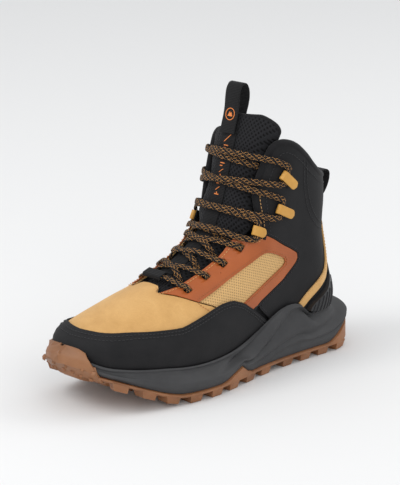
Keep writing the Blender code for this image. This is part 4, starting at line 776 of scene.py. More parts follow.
K = 64                   # stations on each side of a sole ring
th = np.linspace(0, 1, K + 1)
STATION = 0.04 * th + 0.96 * (1 - np.cos(np.pi * th)) / 2


def closed_ring(half, zfun, y0, y1, stations=None):
    """Ring of points: lateral side from toe to heel, then medial side back."""
    Y = y0 + (y1 - y0) * (STATION if stations is None else stations)
    L, M = half(Y, 1), half(Y, -1)
    L[0] = L[-1] = M[0] = M[-1] = 0
    lat = np.stack([centre(Y) + L, Y, zfun(Y)], 1)
    med = np.stack([centre(Y) - M, Y, zfun(Y)], 1)
    return np.vstack([lat, med[-2:0:-1]])


def plan_ring(grow, zfun, stations=None):
    """Ring on the sole's plan outline, grown outward."""
    return closed_ring(lambda Y, s: plan_half(Y, s, grow), zfun, SOLE_FRONT - grow, SOLE_BACK + grow, stations)


def upper_ring(grow, zfun, y0, y1, stations=None):
    """Ring round the upper at a height, grown outward by so many mm."""
    R = closed_ring(lambda Y, s: width(Y, zfun(Y), s), zfun, y0, y1, stations)
    n = len(R)
    d = R[(np.arange(n) + 1) % n] - R[(np.arange(n) - 1) % n]
    out = np.stack([d[:, 1], -d[:, 0]], 1)
    flat = np.linalg.norm(out, axis=1) < 1e-6
    out[flat] = (0, -1)
    out /= np.linalg.norm(out, axis=1, keepdims=True)
    R[:, :2] += out * (grow(R[:, 1])[:, None] if callable(grow) else grow)
    return R


def dropped(ring, by):
    ring[:, 2] -= by
    return ring


def cap(base, flip):
    """Quads across a ring, lateral to medial, at equal stations."""
    n = 2 * K
    F = []
    for k in range(K):
        a, b, c, d = k, k + 1, (n - k - 1) % n, (n - k) % n
        f = [a, b, c, d]
        f = [i for m, i in enumerate(f) if i not in f[:m]]
        F.append([base + i for i in (f if flip else f[::-1])])
    return F


def loft(rings, bottom_first=True):
    """Closed body through the rings, capped at both ends."""
    n = len(rings[0])
    V = np.vstack(rings)
    F = []
    for r in range(len(rings) - 1):
        for k in range(n):
            F.append([r * n + k, r * n + (k + 1) % n, (r + 1) * n + (k + 1) % n, (r + 1) * n + k])
    F += cap(0, False) + cap((len(rings) - 1) * n, True)
    return V, F


def interface_z(Y):
    """Top of the outsole rubber at the side: it climbs at the midfoot and behind the heel."""
    mid = 8.0 * np.clip(1 - np.where(Y < -2, (-2 - Y) / 24.0, (Y + 2) / 10.0), 0, 1)
    heel = 13.0 * smooth(Y, 108, 140)
    return ground_z(Y) + LUG + PLATE + mid + heel


def blendz(f, lift=0.0):
    """A height between the rubber line and the sole's top edge."""
    return lambda Y: (1 - f) * interface_z(Y) + f * sole_top_z(Y) + lift


y_top0, y_top1 = -142.6, 133.4
lip = lambda Y: 3.4 + 3.6 * smooth(Y, 90, 130)
rings = [plan_ring(-2.6, lambda Y: interface_z(Y) + 0.4),
         plan_ring(-0.4, blendz(0.22)),
         plan_ring(-0.6, blendz(0.45)),
         upper_ring(lambda Y: lip(Y) + 0.8, lambda Y: sole_top_z(Y) - 5.0, y_top0 + 0.5, y_top1 - 0.4),
         upper_ring(lambda Y: lip(Y), lambda Y: sole_top_z(Y) - 1.0, y_top0, y_top1),
         upper_ring(lambda Y: lip(Y) - 1.2, sole_top_z, y_top0, y_top1),
         upper_ring(1.4, sole_top_z, y_top0, y_top1),
         upper_ring(1.4, lambda Y: feather_z(Y) + 2.0, -142.0, 132.6),
         dropped(upper_ring(1.2, lambda Y: feather_z(Y) + 1.0, -142.0, 132.6), 4.1)]
# the inner rings run back down, so the upper end cap closes the cup's floor
def sculpted(rings):
    """The foam's outer wall on a finer grid, with its long grooves and ridges."""
    R = np.array(rings[:6])
    t = np.linspace(0, 5, 44)
    i = np.clip(t.astype(int), 0, 4)
    out = []
    for tt, k in zip(t, i):
        f = tt - k
        p0, p1, p2, p3 = R[max(k - 1, 0)], R[k], R[k + 1], R[min(k + 2, 5)]
        if k == 4:
            out.append(p1 * (1 - f) + p2 * f)
        else:
            out.append(0.5 * (2 * p1 + (p2 - p0) * f + (2 * p0 - 5 * p1 + 4 * p2 - p3) * f**2 + (3 * p1 - p0 - 3 * p2 + p3) * f**3) * 0.55 + 0.45 * (p1 * (1 - f) + p2 * f))
    n = len(R[0])
    for tt, ring in zip(t, out):
        h = tt / 5
        Y = ring[:, 1]
        side = np.where(np.arange(n) <= K, 1, -1)
        d = np.zeros(n)
        for y0, h0, y1, h1, depth in ((-34, 0.40, 46, 0.90, 1.7), (-14, 0.22, 92, 0.70, 1.9), (6, 0.14, 128, 0.50, 1.6), (34, 0.1, 146, 0.34, 1.2)):
            f = np.clip((Y - y0) / (y1 - y0), 0, 1)
            hc = h0 + (h1 - h0) * (f ** 1.15)
            window = smooth(Y, y0 - 6, y0 + 18) * (1 - smooth(Y, y1 - 6, y1 + 12))
            e = (h - hc) / 0.05
            d += window * (-1.5 * depth * np.exp(-e**2) + 0.8 * depth * np.exp(-((h - hc - 0.11) / 0.07) ** 2))
        front = smooth(-Y, 20, 60)
        d += front * (-0.9 * np.exp(-((h - 0.72) / 0.05) ** 2) + 0.4 * np.exp(-((h - 0.58) / 0.08) ** 2))
        d *= math.sin(math.pi * min(max((h - 0.02) / 0.9, 0), 1)) ** 0.6 if 0.02 < h < 0.92 else 0.0
        nxt, prv = ring[(np.arange(n) + 1) % n], ring[(np.arange(n) - 1) % n]
        g = nxt - prv
        o = np.stack([g[:, 1], -g[:, 0]], 1)
        o /= np.maximum(np.linalg.norm(o, axis=1, keepdims=True), 1e-9)
        ring[:, :2] += o * d[:, None]
    return out + rings[6:]


midsole = make("midsole", *loft(sculpted(rings)), EVA)

plate_V, plate_F = loft([plan_ring(-2.4, lambda Y: ground_z(Y) + LUG), plan_ring(-0.8, lambda Y: ground_z(Y) + LUG + 1.2),
                         plan_ring(-1.0, lambda Y: interface_z(Y) - 0.8), plan_ring(-2.4, interface_z)])
outsole = make("outsole", plate_V, plate_F, RUBBER)


def join(parts):
    V, F, n = [], [], 0
    for v, f in parts:
        V.append(np.asarray(v, float))
        F += [[i + n for i in q] for q in f]
        n += len(v)
    return np.vstack(V), F


def lug(cx, cy, wx, wy, turn, taper=0.75, tall=LUG):
    """A tapered block that stands down from the plate."""
    c, s = np.cos(np.radians(turn)), np.sin(np.radians(turn))
    V = []
    for f, dz in ((taper, 0.0), (1.0, tall + 1.2)):
        for px, py in ((-1, -1), (1, -1), (1, 1), (-1, 1)):
            x, y = px * wx * f / 2, py * wy * f / 2
            X, Y = cx + c * x - s * y, cy + s * x + c * y
            V.append((X, Y, ground_z(Y) + dz + (LUG - tall)))
    F = [[3, 2, 1, 0], [4, 5, 6, 7]] + [[i, (i + 1) % 4, 4 + (i + 1) % 4, 4 + i] for i in range(4)]
    return V, F


lugs = []
for i, y in enumerate([-118, -98, -78, -57, -36, -15, 8, 30, 60, 82, 104, 125]):
    wl, wm = plan_half(np.array([y]), 1)[0], plan_half(np.array([y]), -1)[0]
    cx = float(centre(y))
    a = np.degrees(np.arctan2(plan_half(np.array([y + 8.0]), 1)[0] - plan_half(np.array([y - 8.0]), 1)[0], 16.0))
    b = np.degrees(np.arctan2(plan_half(np.array([y + 8.0]), -1)[0] - plan_half(np.array([y - 8.0]), -1)[0], 16.0))
    lugs.append(lug(cx + wl - 9.2, y, 16, 13, -a, 0.8))
    lugs.append(lug(cx - wm + 9.2, y, 16, 13, b, 0.8))
for y in [-126, -108, -88, -67, -46, -25]:
    cx = float(centre(y))
    lugs.append(lug(cx + (2 if y != -126 else 0), y, 26 if y != -126 else 20, 10, 0, 0.7))
for y in [48, 71, 93, 115]:
    lugs.append(lug(0, y, 22, 9, 0, 0.7))
lugs.append(lug(float(centre(-137)) + 1, -136.5, 26, 9, 0, 0.7))
lugs.append(lug(0, 146, 30, 9, 0, 0.7))
blocks = cutter("outsole_lugs", *join(lugs))
boolean(outsole, blocks, "UNION")


def toe_bumper():
    """The rubber that wraps up in front of the toe, outside the foam, with a slanted end on each side."""
    wall = [plan_ring(-6.0, lambda Y: ground_z(Y) + LUG + 0.8)] + rings[:5]
    wall += [upper_ring(lambda Y: lip(Y) - 0.7, lambda Y: sole_top_z(Y) + 0.8, y_top0, y_top1),
             upper_ring(1.2, lambda Y: sole_top_z(Y) + 2.8, y_top0, y_top1),
             upper_ring(0.9, lambda Y: sole_top_z(Y) + 8.0, y_top0, y_top1)]
    n = len(wall[0])
    P = np.vstack(wall)
    T = []
    for r in range(len(wall) - 1):
        for k in range(n):
            a, b, c, d = r * n + k, r * n + (k + 1) % n, (r + 1) * n + (k + 1) % n, (r + 1) * n + k
            T += [(a, b, c), (a, c, d)]
    T = np.array(T)
    N = np.zeros_like(P)
    fn = np.cross(P[T[:, 1]] - P[T[:, 0]], P[T[:, 2]] - P[T[:, 0]])
    for k in range(3):
        np.add.at(N, T[:, k], fn)
    N /= np.maximum(np.linalg.norm(N, axis=1, keepdims=True), 1e-9)
    plan = wall[3]
    half = n // 2
    line = np.vstack([plan[half + 14:], plan[:half - 14]])
    tip_arc = np.linalg.norm(np.diff(np.vstack([plan[half + 14:], plan[:1]])[:, :2], axis=0), axis=1).sum()
    S = Sheet(P, N, T)
    around = pdist(line[:, :2], P[:, 0], P[:, 1], arc=True)[1] - tip_arc
    rise = np.clip((P[:, 2] - interface_z(P[:, 1])) / 12.0, -0.4, 1.2)
    top_edge = 52.2 - 0.16 * np.clip(P[:, 1] + 140, 0, None)
    f = np.minimum(np.minimum(36 - 11 * rise - around, around + 60 - 11 * rise), top_edge - P[:, 2])
    S = S.clip(f).biggest()
    return S.thick(0.35, 1.6 + 0.9 * smooth(-S.P[:, 2], -50, -40))


bumper = cutter("outsole_toe", *toe_bumper())
boolean(outsole, bumper, "UNION")


# ------------------------------------------------------------------ bottom of the upper
board = [upper_ring(-4.0, lambda Y: feather_z(Y) - 2.6, -138.6, 131.0),
         upper_ring(-4.0, lambda Y: feather_z(Y) - 0.4, -138.8, 131.2)]
make("insole_board", *loft(board), BOARD)
foot = [upper_ring(-8.0, lambda Y: feather_z(Y) + 0.6, -140.0, 131.5),
        upper_ring(-8.9, lambda Y: feather_z(Y) + 5.0, -139.5, 131.5)]
make("footbed", *loft(foot), KNIT)

# ------------------------------------------------------------------ upper panels
X, Y, Z = FINE.fields()
shell = in_shell(X, Y, Z)
RIM = 0.7                # the collar roll takes this much of the edge above the throat
edge = RIM * smooth(Z, 118, 126)


def region(sheet, *fields):
    for f in fields:
        sheet = sheet.clip(f(*sheet.fields()))
    return sheet.biggest()


def shell_in(by):
    """Inside the shell by some mm, and by the collar roll's width above the throat."""
    return lambda X, Y, Z: in_shell(X, Y, Z) - by - RIM * smooth(Z, 120, 128)


lining = region(BASE, shell_in(1.0))
inner_sock = panel("lining", lining, (LINING[0] + 1.2 * smooth(-lining.P[:, 1], 112, 128), LINING[1]), KNIT)
TAB = 12.0              # half width of the vamp where it runs up to the base of the throat


def behind_vamp(X, Y, Z):
    return np.minimum(behind(VAMP_BACK, Y, Z), np.abs(X) - TAB) - GAP / 2


def in_vamp(X, Y, Z):
    return np.maximum(-behind(VAMP_BACK, Y, Z), np.minimum(TAB - np.abs(X), -40 - Y)) - GAP / 2


panel("vamp", region(HALF, shell_in(0.0), in_vamp), VAMP, SUEDE)
quarters, films = {}, {}
for side, tag in ((1, "lateral"), (-1, "medial")):
    one = lambda X, Y, Z, side=side: side * X
    quarters[tag] = panel("quarter_" + tag, region(HALF, one, shell_in(0.4), lambda X, Y, Z: behind_vamp(X, Y, Z) - 0.9,
                                                   lambda X, Y, Z: -ankle_field(Y, Z) - GAP / 2), QUARTER, MESH)
    films[tag] = panel("film_overlay_" + tag, region(HALF, one, shell_in(0.0), behind_vamp,
                                                     lambda X, Y, Z: -ankle_field(Y, Z) - 0.5,
                                                     lambda X, Y, Z: -in_mudguard(X, Y, Z) - GAP,
                                                     lambda X, Y, Z: -spoly(WINDOW, Y, Z)), FILM, BROWN)
panel("ankle_panel", region(HALF, shell_in(0.0), lambda X, Y, Z: ankle_field(Y, Z) - GAP / 2,
                            lambda X, Y, Z: -in_mudguard(X, Y, Z) - GAP), ANKLE, BLACK)
panel("mudguard", region(HALF, in_mudguard, lambda X, Y, Z: 60 - Y), MUDGUARD, BLACK)
panel("heel_stripe", region(HALF, lambda X, Y, Z: -pdist(STRIPE_FRONT, Y, Z) * -1, lambda X, Y, Z: -pdist(STRIPE_BACK, Y, Z),
                            lambda X, Y, Z: Z - sole_top_z(Y) - 0.6), STRIPE, SUEDE)
panel("heel_panel", region(HALF, lambda X, Y, Z: pdist(STRIPE_BACK, Y, Z) - GAP, lambda X, Y, Z: Y - 70), HEEL, BLACK)
CLIP = [(84.5, 42.5), (87, 47), (98, 52), (110, 57), (118.5, 63.5), (125, 70), (129, 75), (150, 79), (150, 20), (84.5, 20)]
clip = region(HALF, lambda X, Y, Z: spoly(CLIP, Y, Z), lambda X, Y, Z: Z - sole_top_z(Y) - 2.4)
panel("heel_clip", clip, (0.9, 1.4 + 4.6 * smooth(-clip.P[:, 2], -74, -48)), TPU)

# ------------------------------------------------------------------ points on the master surface
top_arc = np.concatenate([[0], np.cumsum(np.linalg.norm(np.diff(top, axis=0), axis=1))])


def surf(x, s):
    """Point of the master surface at x, on the section that leaves the top line at arc length s."""
    y0, z0 = np.interp(s, top_arc, top[:, 0]), np.interp(s, top_arc, top[:, 1])
    y1, z1 = np.interp(s + 1.5, top_arc, top[:, 0]), np.interp(s + 1.5, top_arc, top[:, 1])
    t = np.array([y1 - y0, z1 - z0])
    t /= np.linalg.norm(t)
    side = 1 if x >= 0 else -1
    d = 46.0 * np.linspace(0, 1, 121) ** 2
    y, z = y0 + d * t[1], z0 - d * t[0]
    out = np.maximum.accumulate(side * centre(y) + width(y, z, side) + 1e-6 * d)
    m = np.interp(abs(x), out, d)
    return np.array([x, y0 + m * t[1], z0 - m * t[0]])


def normal(x, s):
    e = 1.2
    n = np.cross(surf(x + e, s) - surf(x - e, s), surf(x, s + e) - surf(x, s - e))
    return n / np.linalg.norm(n)


def at(x, s, offset):
    return surf(x, s) + offset * normal(x, s)


def arc_of(y, z):
    return float(along(np.array([y]), np.array([z]))[0])


def flank(y, z, side):
    """Point and outward normal of the master surface in the side view."""
    def p(y, z):
        return np.array([float(centre(y)) + side * float(width(y, z, side)), y, z])
    n = np.cross(p(y + 1, z) - p(y - 1, z), p(y, z + 1) - p(y, z - 1)) * side
    return p(y, z), n / np.linalg.norm(n)


# ------------------------------------------------------------------ tongue
TONGUE_SIDE = [(-74, 30), (-74, 212.4), (38, 212.4), (44, 213.2), (50, 208.5), (60, 199), (73, 187), (71, 175), (64, 160), (58, 140),
               (48, 118), (36, 100), (36, 30)]
HINGE_Y, HINGE_Z = 28.0, 184.0       # where the tongue's top folds forward, on its front face
HINGE_S = arc_of(HINGE_Y, HINGE_Z)


def in_tongue(X, Y, Z):
    return np.minimum(31 + 7 * smooth(Z, 108, 150) - np.abs(X), spoly(TONGUE_SIDE, Y, Z))


def tongue_piece(name, lower, mat, lift=0.0, thick=None, half=None, first=-1e3):
    fields = [in_tongue, (lambda X, Y, Z: HINGE_S - 0.6 - along(Y, Z)) if lower else (lambda X, Y, Z: along(Y, Z) - HINGE_S - 0.6)]
    if half:
        fields += [lambda X, Y, Z: half - np.abs(X), lambda X, Y, Z: along(Y, Z) - first]
    S = region(HALF, *fields)
    face = tongue_face(S) + lift
    return make(name, *S.thick(face - (thick or TONGUE_T), face), mat)



def tongue_shape(X, Y, Z):
    """The tongue's outline, with its inner top corner sloped."""
    drop = 212.4 - 0.95 * np.clip(-X - 1.0, 0, None)
    return np.minimum(in_tongue(X, Y, Z), drop - Z)


def whole_tongue(name, nodes, mat, lift, thick, half=None, first=-1e3):
    fields = [tongue_shape]
    if half:
        fields += [lambda X, Y, Z: half - np.abs(X), lambda X, Y, Z: along(Y, Z) - first]
    S = region(HALF, *fields)
    face = tongue_face(S) + lift
    V, F = S.thick(face - thick, face)
    ob = raw(name, V, F, mat)
    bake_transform(ob)
    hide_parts(*nodes)
    MADE[name] = ob
    return ob, S


tongue_ob, tongue_S = whole_tongue("tongue", ["tongue_lower", "tongue_flap"], LOOKS["tongue_mesh"], 0.6, TONGUE_T)
strip_ob, strip_S = whole_tongue("strip", ["tongue_strip", "tongue_flap_strip"], WEB, 1.75, 1.1, 8.0, arc_of(-40, 93.5))


# ------------------------------------------------------------------ bands and bars
def ring_prism(outer, inner, origin, u, n, t, half):
    """A closed band: the profile between two loops of (u, n) points, extruded by half to each side along t."""
    origin, u, n, t = [np.asarray(v, float) for v in (origin, u, n, t)]
    k = len(outer)
    V = []
    for e in (-half, half):
        for loop in (outer, inner):
            V += [origin + p * u + q * n + e * t for p, q in loop]
    F = []
    for i in range(k):
        j = (i + 1) % k
        F += [[i, j, k + j, k + i], [2 * k + j, 2 * k + i, 3 * k + i, 3 * k + j],
              [j, i, 2 * k + i, 2 * k + j], [k + i, k + j, 3 * k + j, 3 * k + i]]
    area = 0.5 * sum(outer[i][0] * outer[(i + 1) % k][1] - outer[(i + 1) % k][0] * outer[i][1] for i in range(k))
    if area * np.dot(np.cross(u, n), t) > 0:
        F = [f[::-1] for f in F]
    return np.array(V), F


def band(points, t):
    """Outer and inner loops at t/2 either side of a closed line."""
    P = np.asarray(points, float)
    d = np.roll(P, -1, 0) - np.roll(P, 1, 0)
    out = np.stack([d[:, 1], -d[:, 0]], 1) / np.linalg.norm(d, axis=1, keepdims=True)
    area = 0.5 * (P[:, 0] * np.roll(P[:, 1], -1) - np.roll(P[:, 0], -1) * P[:, 1]).sum()
    out *= np.sign(area)
    return [tuple(p) for p in P + out * t / 2], [tuple(p) for p in P - out * t / 2]


X_AXIS, Y_AXIS, Z_AXIS = (1, 0, 0), (0, 1, 0), (0, 0, 1)


def round_loop(points, n=60):
    P = np.asarray(points, float)
    for _ in range(3):
        Q = np.roll(P, -1, 0)
        P = np.stack([0.78 * P + 0.22 * Q, 0.22 * P + 0.78 * Q], 1).reshape(-1, P.shape[1])
    return P
LOOP_LINE = [(40.2, 215.6), (37.6, 219.5), (37.0, 226), (38.4, 232.5), (41.6, 236.8), (45.4, 237.2), (48.2, 233), (48.4, 226.5),
             (46.2, 219.5), (43.2, 215.6)]

HEEL_LINE = [(135.6, 147.5), (141, 148.6), (147, 148.4), (149.6, 145.5), (149, 139.5), (146, 133), (142, 128), (138, 125.6),
             (135.6, 127), (135.5, 134), (135.4, 142)]
make("heel_loop", *ring_prism(*band(round_loop(HEEL_LINE), 1.3), (0, 0, 0), Y_AXIS, Z_AXIS, X_AXIS, 7.0), WEB)


def tube(points, normals, radii, sides=8):
    """A round tube with flat ends; radii are one per point."""
    P = np.asarray(points, float)
    T = np.gradient(P, axis=0)
    T /= np.linalg.norm(T, axis=1, keepdims=True)
    A = np.asarray(normals, float)
    A = A - (A * T).sum(1, keepdims=True) * T
    A /= np.linalg.norm(A, axis=1, keepdims=True)
    B = np.cross(T, A)
    V, F, m = [], [], len(P)
    for i in range(m):
        for k in range(sides):
            w = 2 * np.pi * k / sides
            V.append(P[i] + radii[i] * (np.cos(w) * A[i] + np.sin(w) * B[i]))
    for i in range(m - 1):
        for k in range(sides):
            j = (k + 1) % sides
            F.append([i * sides + k, i * sides + j, (i + 1) * sides + j, (i + 1) * sides + k])
    F += [[k for k in range(sides)][::-1], [(m - 1) * sides + k for k in range(sides)]]
    return V, F


def collar_path():
    edge = np.array(FRONT_EDGE, float)
    edge = edge[edge[:, 1] > 124]
    fine = spline(edge, 260)
    fine = fine[(fine[:, 0] < 133.2) & ((fine[:, 1] > 128) | (fine[:, 0] > 60))]
    fine = np.vstack([fine, [(133.25, 150.0)]])
    pts, nrm = [], []
    for y, z in fine:
        p, n = flank(y, z, 1)
        pts.append(p)
        nrm.append(n)
    pts, nrm = np.array(pts), np.array(nrm)
    pts[-1, 0], nrm[-1] = 0, (0, 1, 0)
    pts, nrm = np.vstack([pts, pts[-2::-1] * (-1, 1, 1)]), np.vstack([nrm, nrm[-2::-1] * (-1, 1, 1)])
    L = np.concatenate([[0], np.cumsum(np.linalg.norm(np.diff(pts, axis=0), axis=1))])
    f = np.linspace(0, L[-1], 300)
    pts = np.stack([np.interp(f, L, pts[:, k]) for k in range(3)], 1)
    nrm = np.stack([np.interp(f, L, nrm[:, k]) for k in range(3)], 1)
    nrm /= np.linalg.norm(nrm, axis=1, keepdims=True)
    return pts - 3.7 * nrm, nrm


roll_P, roll_N = collar_path()
make("collar_roll", *tube(roll_P, roll_N, np.full(len(roll_P), 3.45), 16), LOOKS['collar_cloth'])


def strap(path, halves, thick, o, u, n, t, arc=6):
    """A band of cloth along (u, n) points, with its half width and thickness, and rounded long edges."""
    P = np.asarray(path, float)
    d = np.gradient(P, axis=0)
    d /= np.linalg.norm(d, axis=1, keepdims=True)
    q = np.stack([-d[:, 1], d[:, 0]], 1)
    h = thick / 2
    ring = []
    for k in range(arc + 1):
        w = math.pi * (k / arc - 0.5)
        ring.append((1, math.cos(w) * h * 0.8, math.sin(w) * h))
    for k in range(arc + 1):
        w = math.pi * (k / arc + 0.5)
        ring.append((-1, math.cos(w) * h * 0.8, math.sin(w) * h))
    V, F, c = [], [], len(ring)
    for i in range(len(P)):
        for s, a, b in ring:
            x = s * max(halves[i] - h * 0.8, 0.05) + a
            v = P[i] + q[i] * b
            V.append(o + v[0] * u + v[1] * n + x * t)
    for i in range(len(P) - 1):
        for k in range(c):
            j = (k + 1) % c
            F.append([i * c + k, i * c + j, (i + 1) * c + j, (i + 1) * c + k])
    F += [list(range(c))[::-1], [(len(P) - 1) * c + k for k in range(c)]]
    V = np.array(V)
    if np.dot(np.cross(u, n), t) < 0:
        F = [f[::-1] for f in F]
    me_ok = V
    return me_ok, F


def hook_look(name, o, u, n, t, long, loop=False):
    """A folded coated tab: the base lies on the boot, the fold faces the throat, and the cap stands over the lace."""
    cap_n = 3.9 if not loop else 3.4
    turn = math.radians(19 if "upper" in name else 7)
    down = -1.0 if t[2] > 0 else 1.0
    u, t = u * math.cos(turn) + t * (down * math.sin(turn)), t * math.cos(turn) - u * (down * math.sin(turn))
    o = o - 0.8 * u
    path = [(11.5, 0.0), (8, 0.0), (4.5, 0.0), (2.2, 0.05)]
    r = cap_n / 2
    path += [(2.0 - r * 0.95 * math.sin(w), r - r * math.cos(w)) for w in np.linspace(0.25, math.pi - 0.25, 9)]
    end = long - 1.0
    path += [(x, cap_n - (0.5 if loop else 0.1) * (x / long) ** 2 * (5 if loop else 1)) for x in np.linspace(2.4, end, 16)]
    halves = []
    for i, (x, y) in enumerate(path):
        h = 4.0
        if i > 12:
            e = max(0.0, (x - (end - 4.0)) / 4.0)
            h = 4.0 * math.sqrt(max(1 - e ** 2.6, 0.004))
        halves.append(h)
    V, F = strap(path, halves, 1.25, o, u, n, t)
    ob = make(name, V, F, TAN)
    # the black tab that it is sewn to
    tab = [(x, -0.75) for x in np.linspace(1.0, 15.0, 10)]
    V, F = strap(tab, [4.9] * 10, 0.7, o, u, n, t)
    back = raw(name + "_tab", V, F, WEB)
    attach(back, "boot")
    return ob


# ------------------------------------------------------------------ lacing hardware
def fitting_frame(y, z, side, du, dz):
    """Origin on the flank, u back from the throat, n outward, t across."""
    p, n = flank(y, z, side)
    u = np.array([0, du, dz], float)
    u -= u.dot(n) * n
    u /= np.linalg.norm(u)
    return p, u, n, np.cross(n, u)


HOOKS = {"lower": (50, 137, 0.94, -0.33), "upper": (54, 165, 0.93, -0.37)}
HOOK_LONG, HOOK_HALF = 20.0, 4.8
hook_frames = {}
for level, (y, z, du, dz) in HOOKS.items():
    for side, tag in ((1, "lateral"), (-1, "medial")):
        mid = (y + 9 * du, z + 9 * dz)
        p, u, n, t = fitting_frame(*mid, side, du, dz)
        o = p - 9 * u
        hook_frames[level, side] = (o, u, n, t)
        prof = [(0.3, -0.5), (14.5, -0.5), (14.5, 0.4), (1.4, 0.4), (1.4, 3.4), (18.6, 3.4), (20, 3.0), (20, 3.7), (18.4, 4.7),
                (1.2, 4.7), (0, 3.8), (0, 0.2)]
        hook_look("hook_%s_%s" % (level, tag), o, u, n, t, 20.0)

LOOP5 = (26.5, 122.5, 0.95, -0.3)
loop_frames = {}
for side, tag in ((1, "lateral"), (-1, "medial")):
    y, z, du, dz = LOOP5
    p, u, n, t = fitting_frame(y + 8 * du, z + 8 * dz, side, du, dz)
    o = p - 8 * u
    loop_frames[side] = (o, u, n, t)
    outer = [(0.2, 0.0), (13.5, -0.4), (13.5, 1.9), (7.2, 4.2), (1.0, 4.2), (0, 3.2)]
    inner = [(1.4, 0.9), (7.2, 0.8), (8.4, 1.6), (6.8, 3.1), (1.8, 3.1), (1.4, 2.8)]
    hook_look("lace_loop_" + tag, o, u, n, t, 14.0, True)

KEEPER_S = arc_of(-47.5, 91)
o, n = at(-3.0, KEEPER_S, 0.3), normal(0, KEEPER_S)
u = surf(0, KEEPER_S + 1.5) - surf(0, KEEPER_S - 1.5)
u -= u.dot(n) * n
u /= np.linalg.norm(u)
t = np.cross(n, u)
make("lace_keeper", *prism([(-4.6, 0.0), (-4.6, 2.7), (-3.6, 3.5), (3.6, 3.5), (4.6, 2.7), (4.6, 0.0), (3.7, 0.0), (3.7, 2.5), (-3.7, 2.5),
                            (-3.7, 0.0)], o, u, n, t, 10.0), WEB)

# ------------------------------------------------------------------ eyelets and the lace
EYELETS = [(27.8, -41, 85), (28.0, -21, 92.5), (29.5, -3, 100), (32.0, 14.5, 109)]
EYELET_U, EYELET_V = 2.8, 3.4        # half sizes, out from the throat and along its edge
holes = []
for x, y, z in EYELETS:
    s0 = arc_of(y, z)
    for side in (1, -1):
        o, n = surf(side * x, s0), normal(side * x, s0)
        v = surf(side * x, s0 + 1.5) - surf(side * x, s0 - 1.5)
        v -= v.dot(n) * n
        v /= np.linalg.norm(v)
        u = np.cross(v, n)
        a, b = EYELET_U, EYELET_V
        prof = [(-a, -b + 0.8), (-a + 0.8, -b), (a - 0.8, -b), (a, -b + 0.8), (a, b - 0.8), (a - 0.8, b), (-a + 0.8, b), (-a, b - 0.8)]
        holes.append(prism(prof, o - 3.2 * n, u, v, n, 5.5))
eyelet_cut = cutter("eyelet_cuts", *join(holes))
for ob in (inner_sock, *quarters.values(), *films.values()):
    boolean(ob, eyelet_cut, "DIFFERENCE")

LACE_W, LACE_T = 3.5, 1.3
UNDER, OVER, HELD = -7.35, 0.55, 2.0
LOW, HIGH = 2.0, 3.95               # strand centres where two cross over the tongue


def face_at(p):
    return float(-8.8 + 7.6 * smooth(-in_shell(np.array([p[0] - float(centre(p[1]))]), np.array([p[1]]), np.array([p[2]])), -1.0, 15.0)[0])


class Run:
    """Collects the lace's control points with the surface normal at each."""

    def __init__(self):
        self.P, self.N = [], []

    def add(self, p, n):
        self.P.append(np.asarray(p, float))
        self.N.append(np.asarray(n, float))

    def on(self, x, s, off):
        self.add(at(x, s, off), normal(x, s))

    def hole(self, x, s, heading_in, heading_out):
        """Over to under through an eyelet; headings are unit steps in (x, s)."""
        side = np.sign(x)
        self.on(x - 3.4 * heading_in[0], s - 3.4 * heading_in[1], OVER)
        self.on(x - 0.9 * heading_in[0], s - 0.9 * heading_in[1], OVER + 0.25)
        self.on(x + side * 1.0, s, -1.2)
        self.on(x + side * 1.25, s, -3.6)
        self.on(x + side * 0.9, s, -5.9)
        self.on(x + 1.4 * heading_out[0], s + 1.4 * heading_out[1], UNDER - 0.05)
        self.on(x + 4.0 * heading_out[0], s + 4.0 * heading_out[1], UNDER)

    def across(self, a, b, mid, start, end, f0=0.16, f1=0.84, steps=8):
        """From a to b in (x, s) over the tongue, 'under' or 'over' the edge at each end."""
        for f in np.linspace(f0, f1, steps):
            x, s = a[0] + f * (b[0] - a[0]), a[1] + f * (b[1] - a[1])
            low = face_at(surf(x, s)) + 1.5
            kind = start if f < 0.5 else end
            q = float(smooth(np.array(min(f, 1 - f)), 0.14, 0.33))
            off = low + (mid - 0.3) * q if kind == "under" else max((1 - q) * kind + q * mid, low + 0.2)
            self.on(x, s, off)

    def held(self, frame, u0, rise):
        """Up inside a fold of hardware."""
        o, u, n, t = frame
        side_t = t if t[2] > 0 else -t
        for e in (-7.2, -3.6, 0.0, 3.6, 7.2):
            back = u0 if abs(e) < 5 else u0 - 1.6
            self.add(o + back * u + (rise + (0.6 if abs(e) > 5 else 0)) * n + e * side_t, n)


def unit(a, b):
    d = np.array([b[0] - a[0], b[1] - a[1]], float)
    return d / np.linalg.norm(d)


E = [(x, arc_of(y, z)) for x, y, z in EYELETS]
M = [(-x, s) for x, s in E]


def hw(frame, rise, e, u0=-4.0):
    """(x, s) of a point beside a fold, where the lace arrives or leaves."""
    o, u, n, t = frame
    p = o + u0 * u + e * (t if t[2] > 0 else -t)
    return (p[0], arc_of(p[1], p[2]))


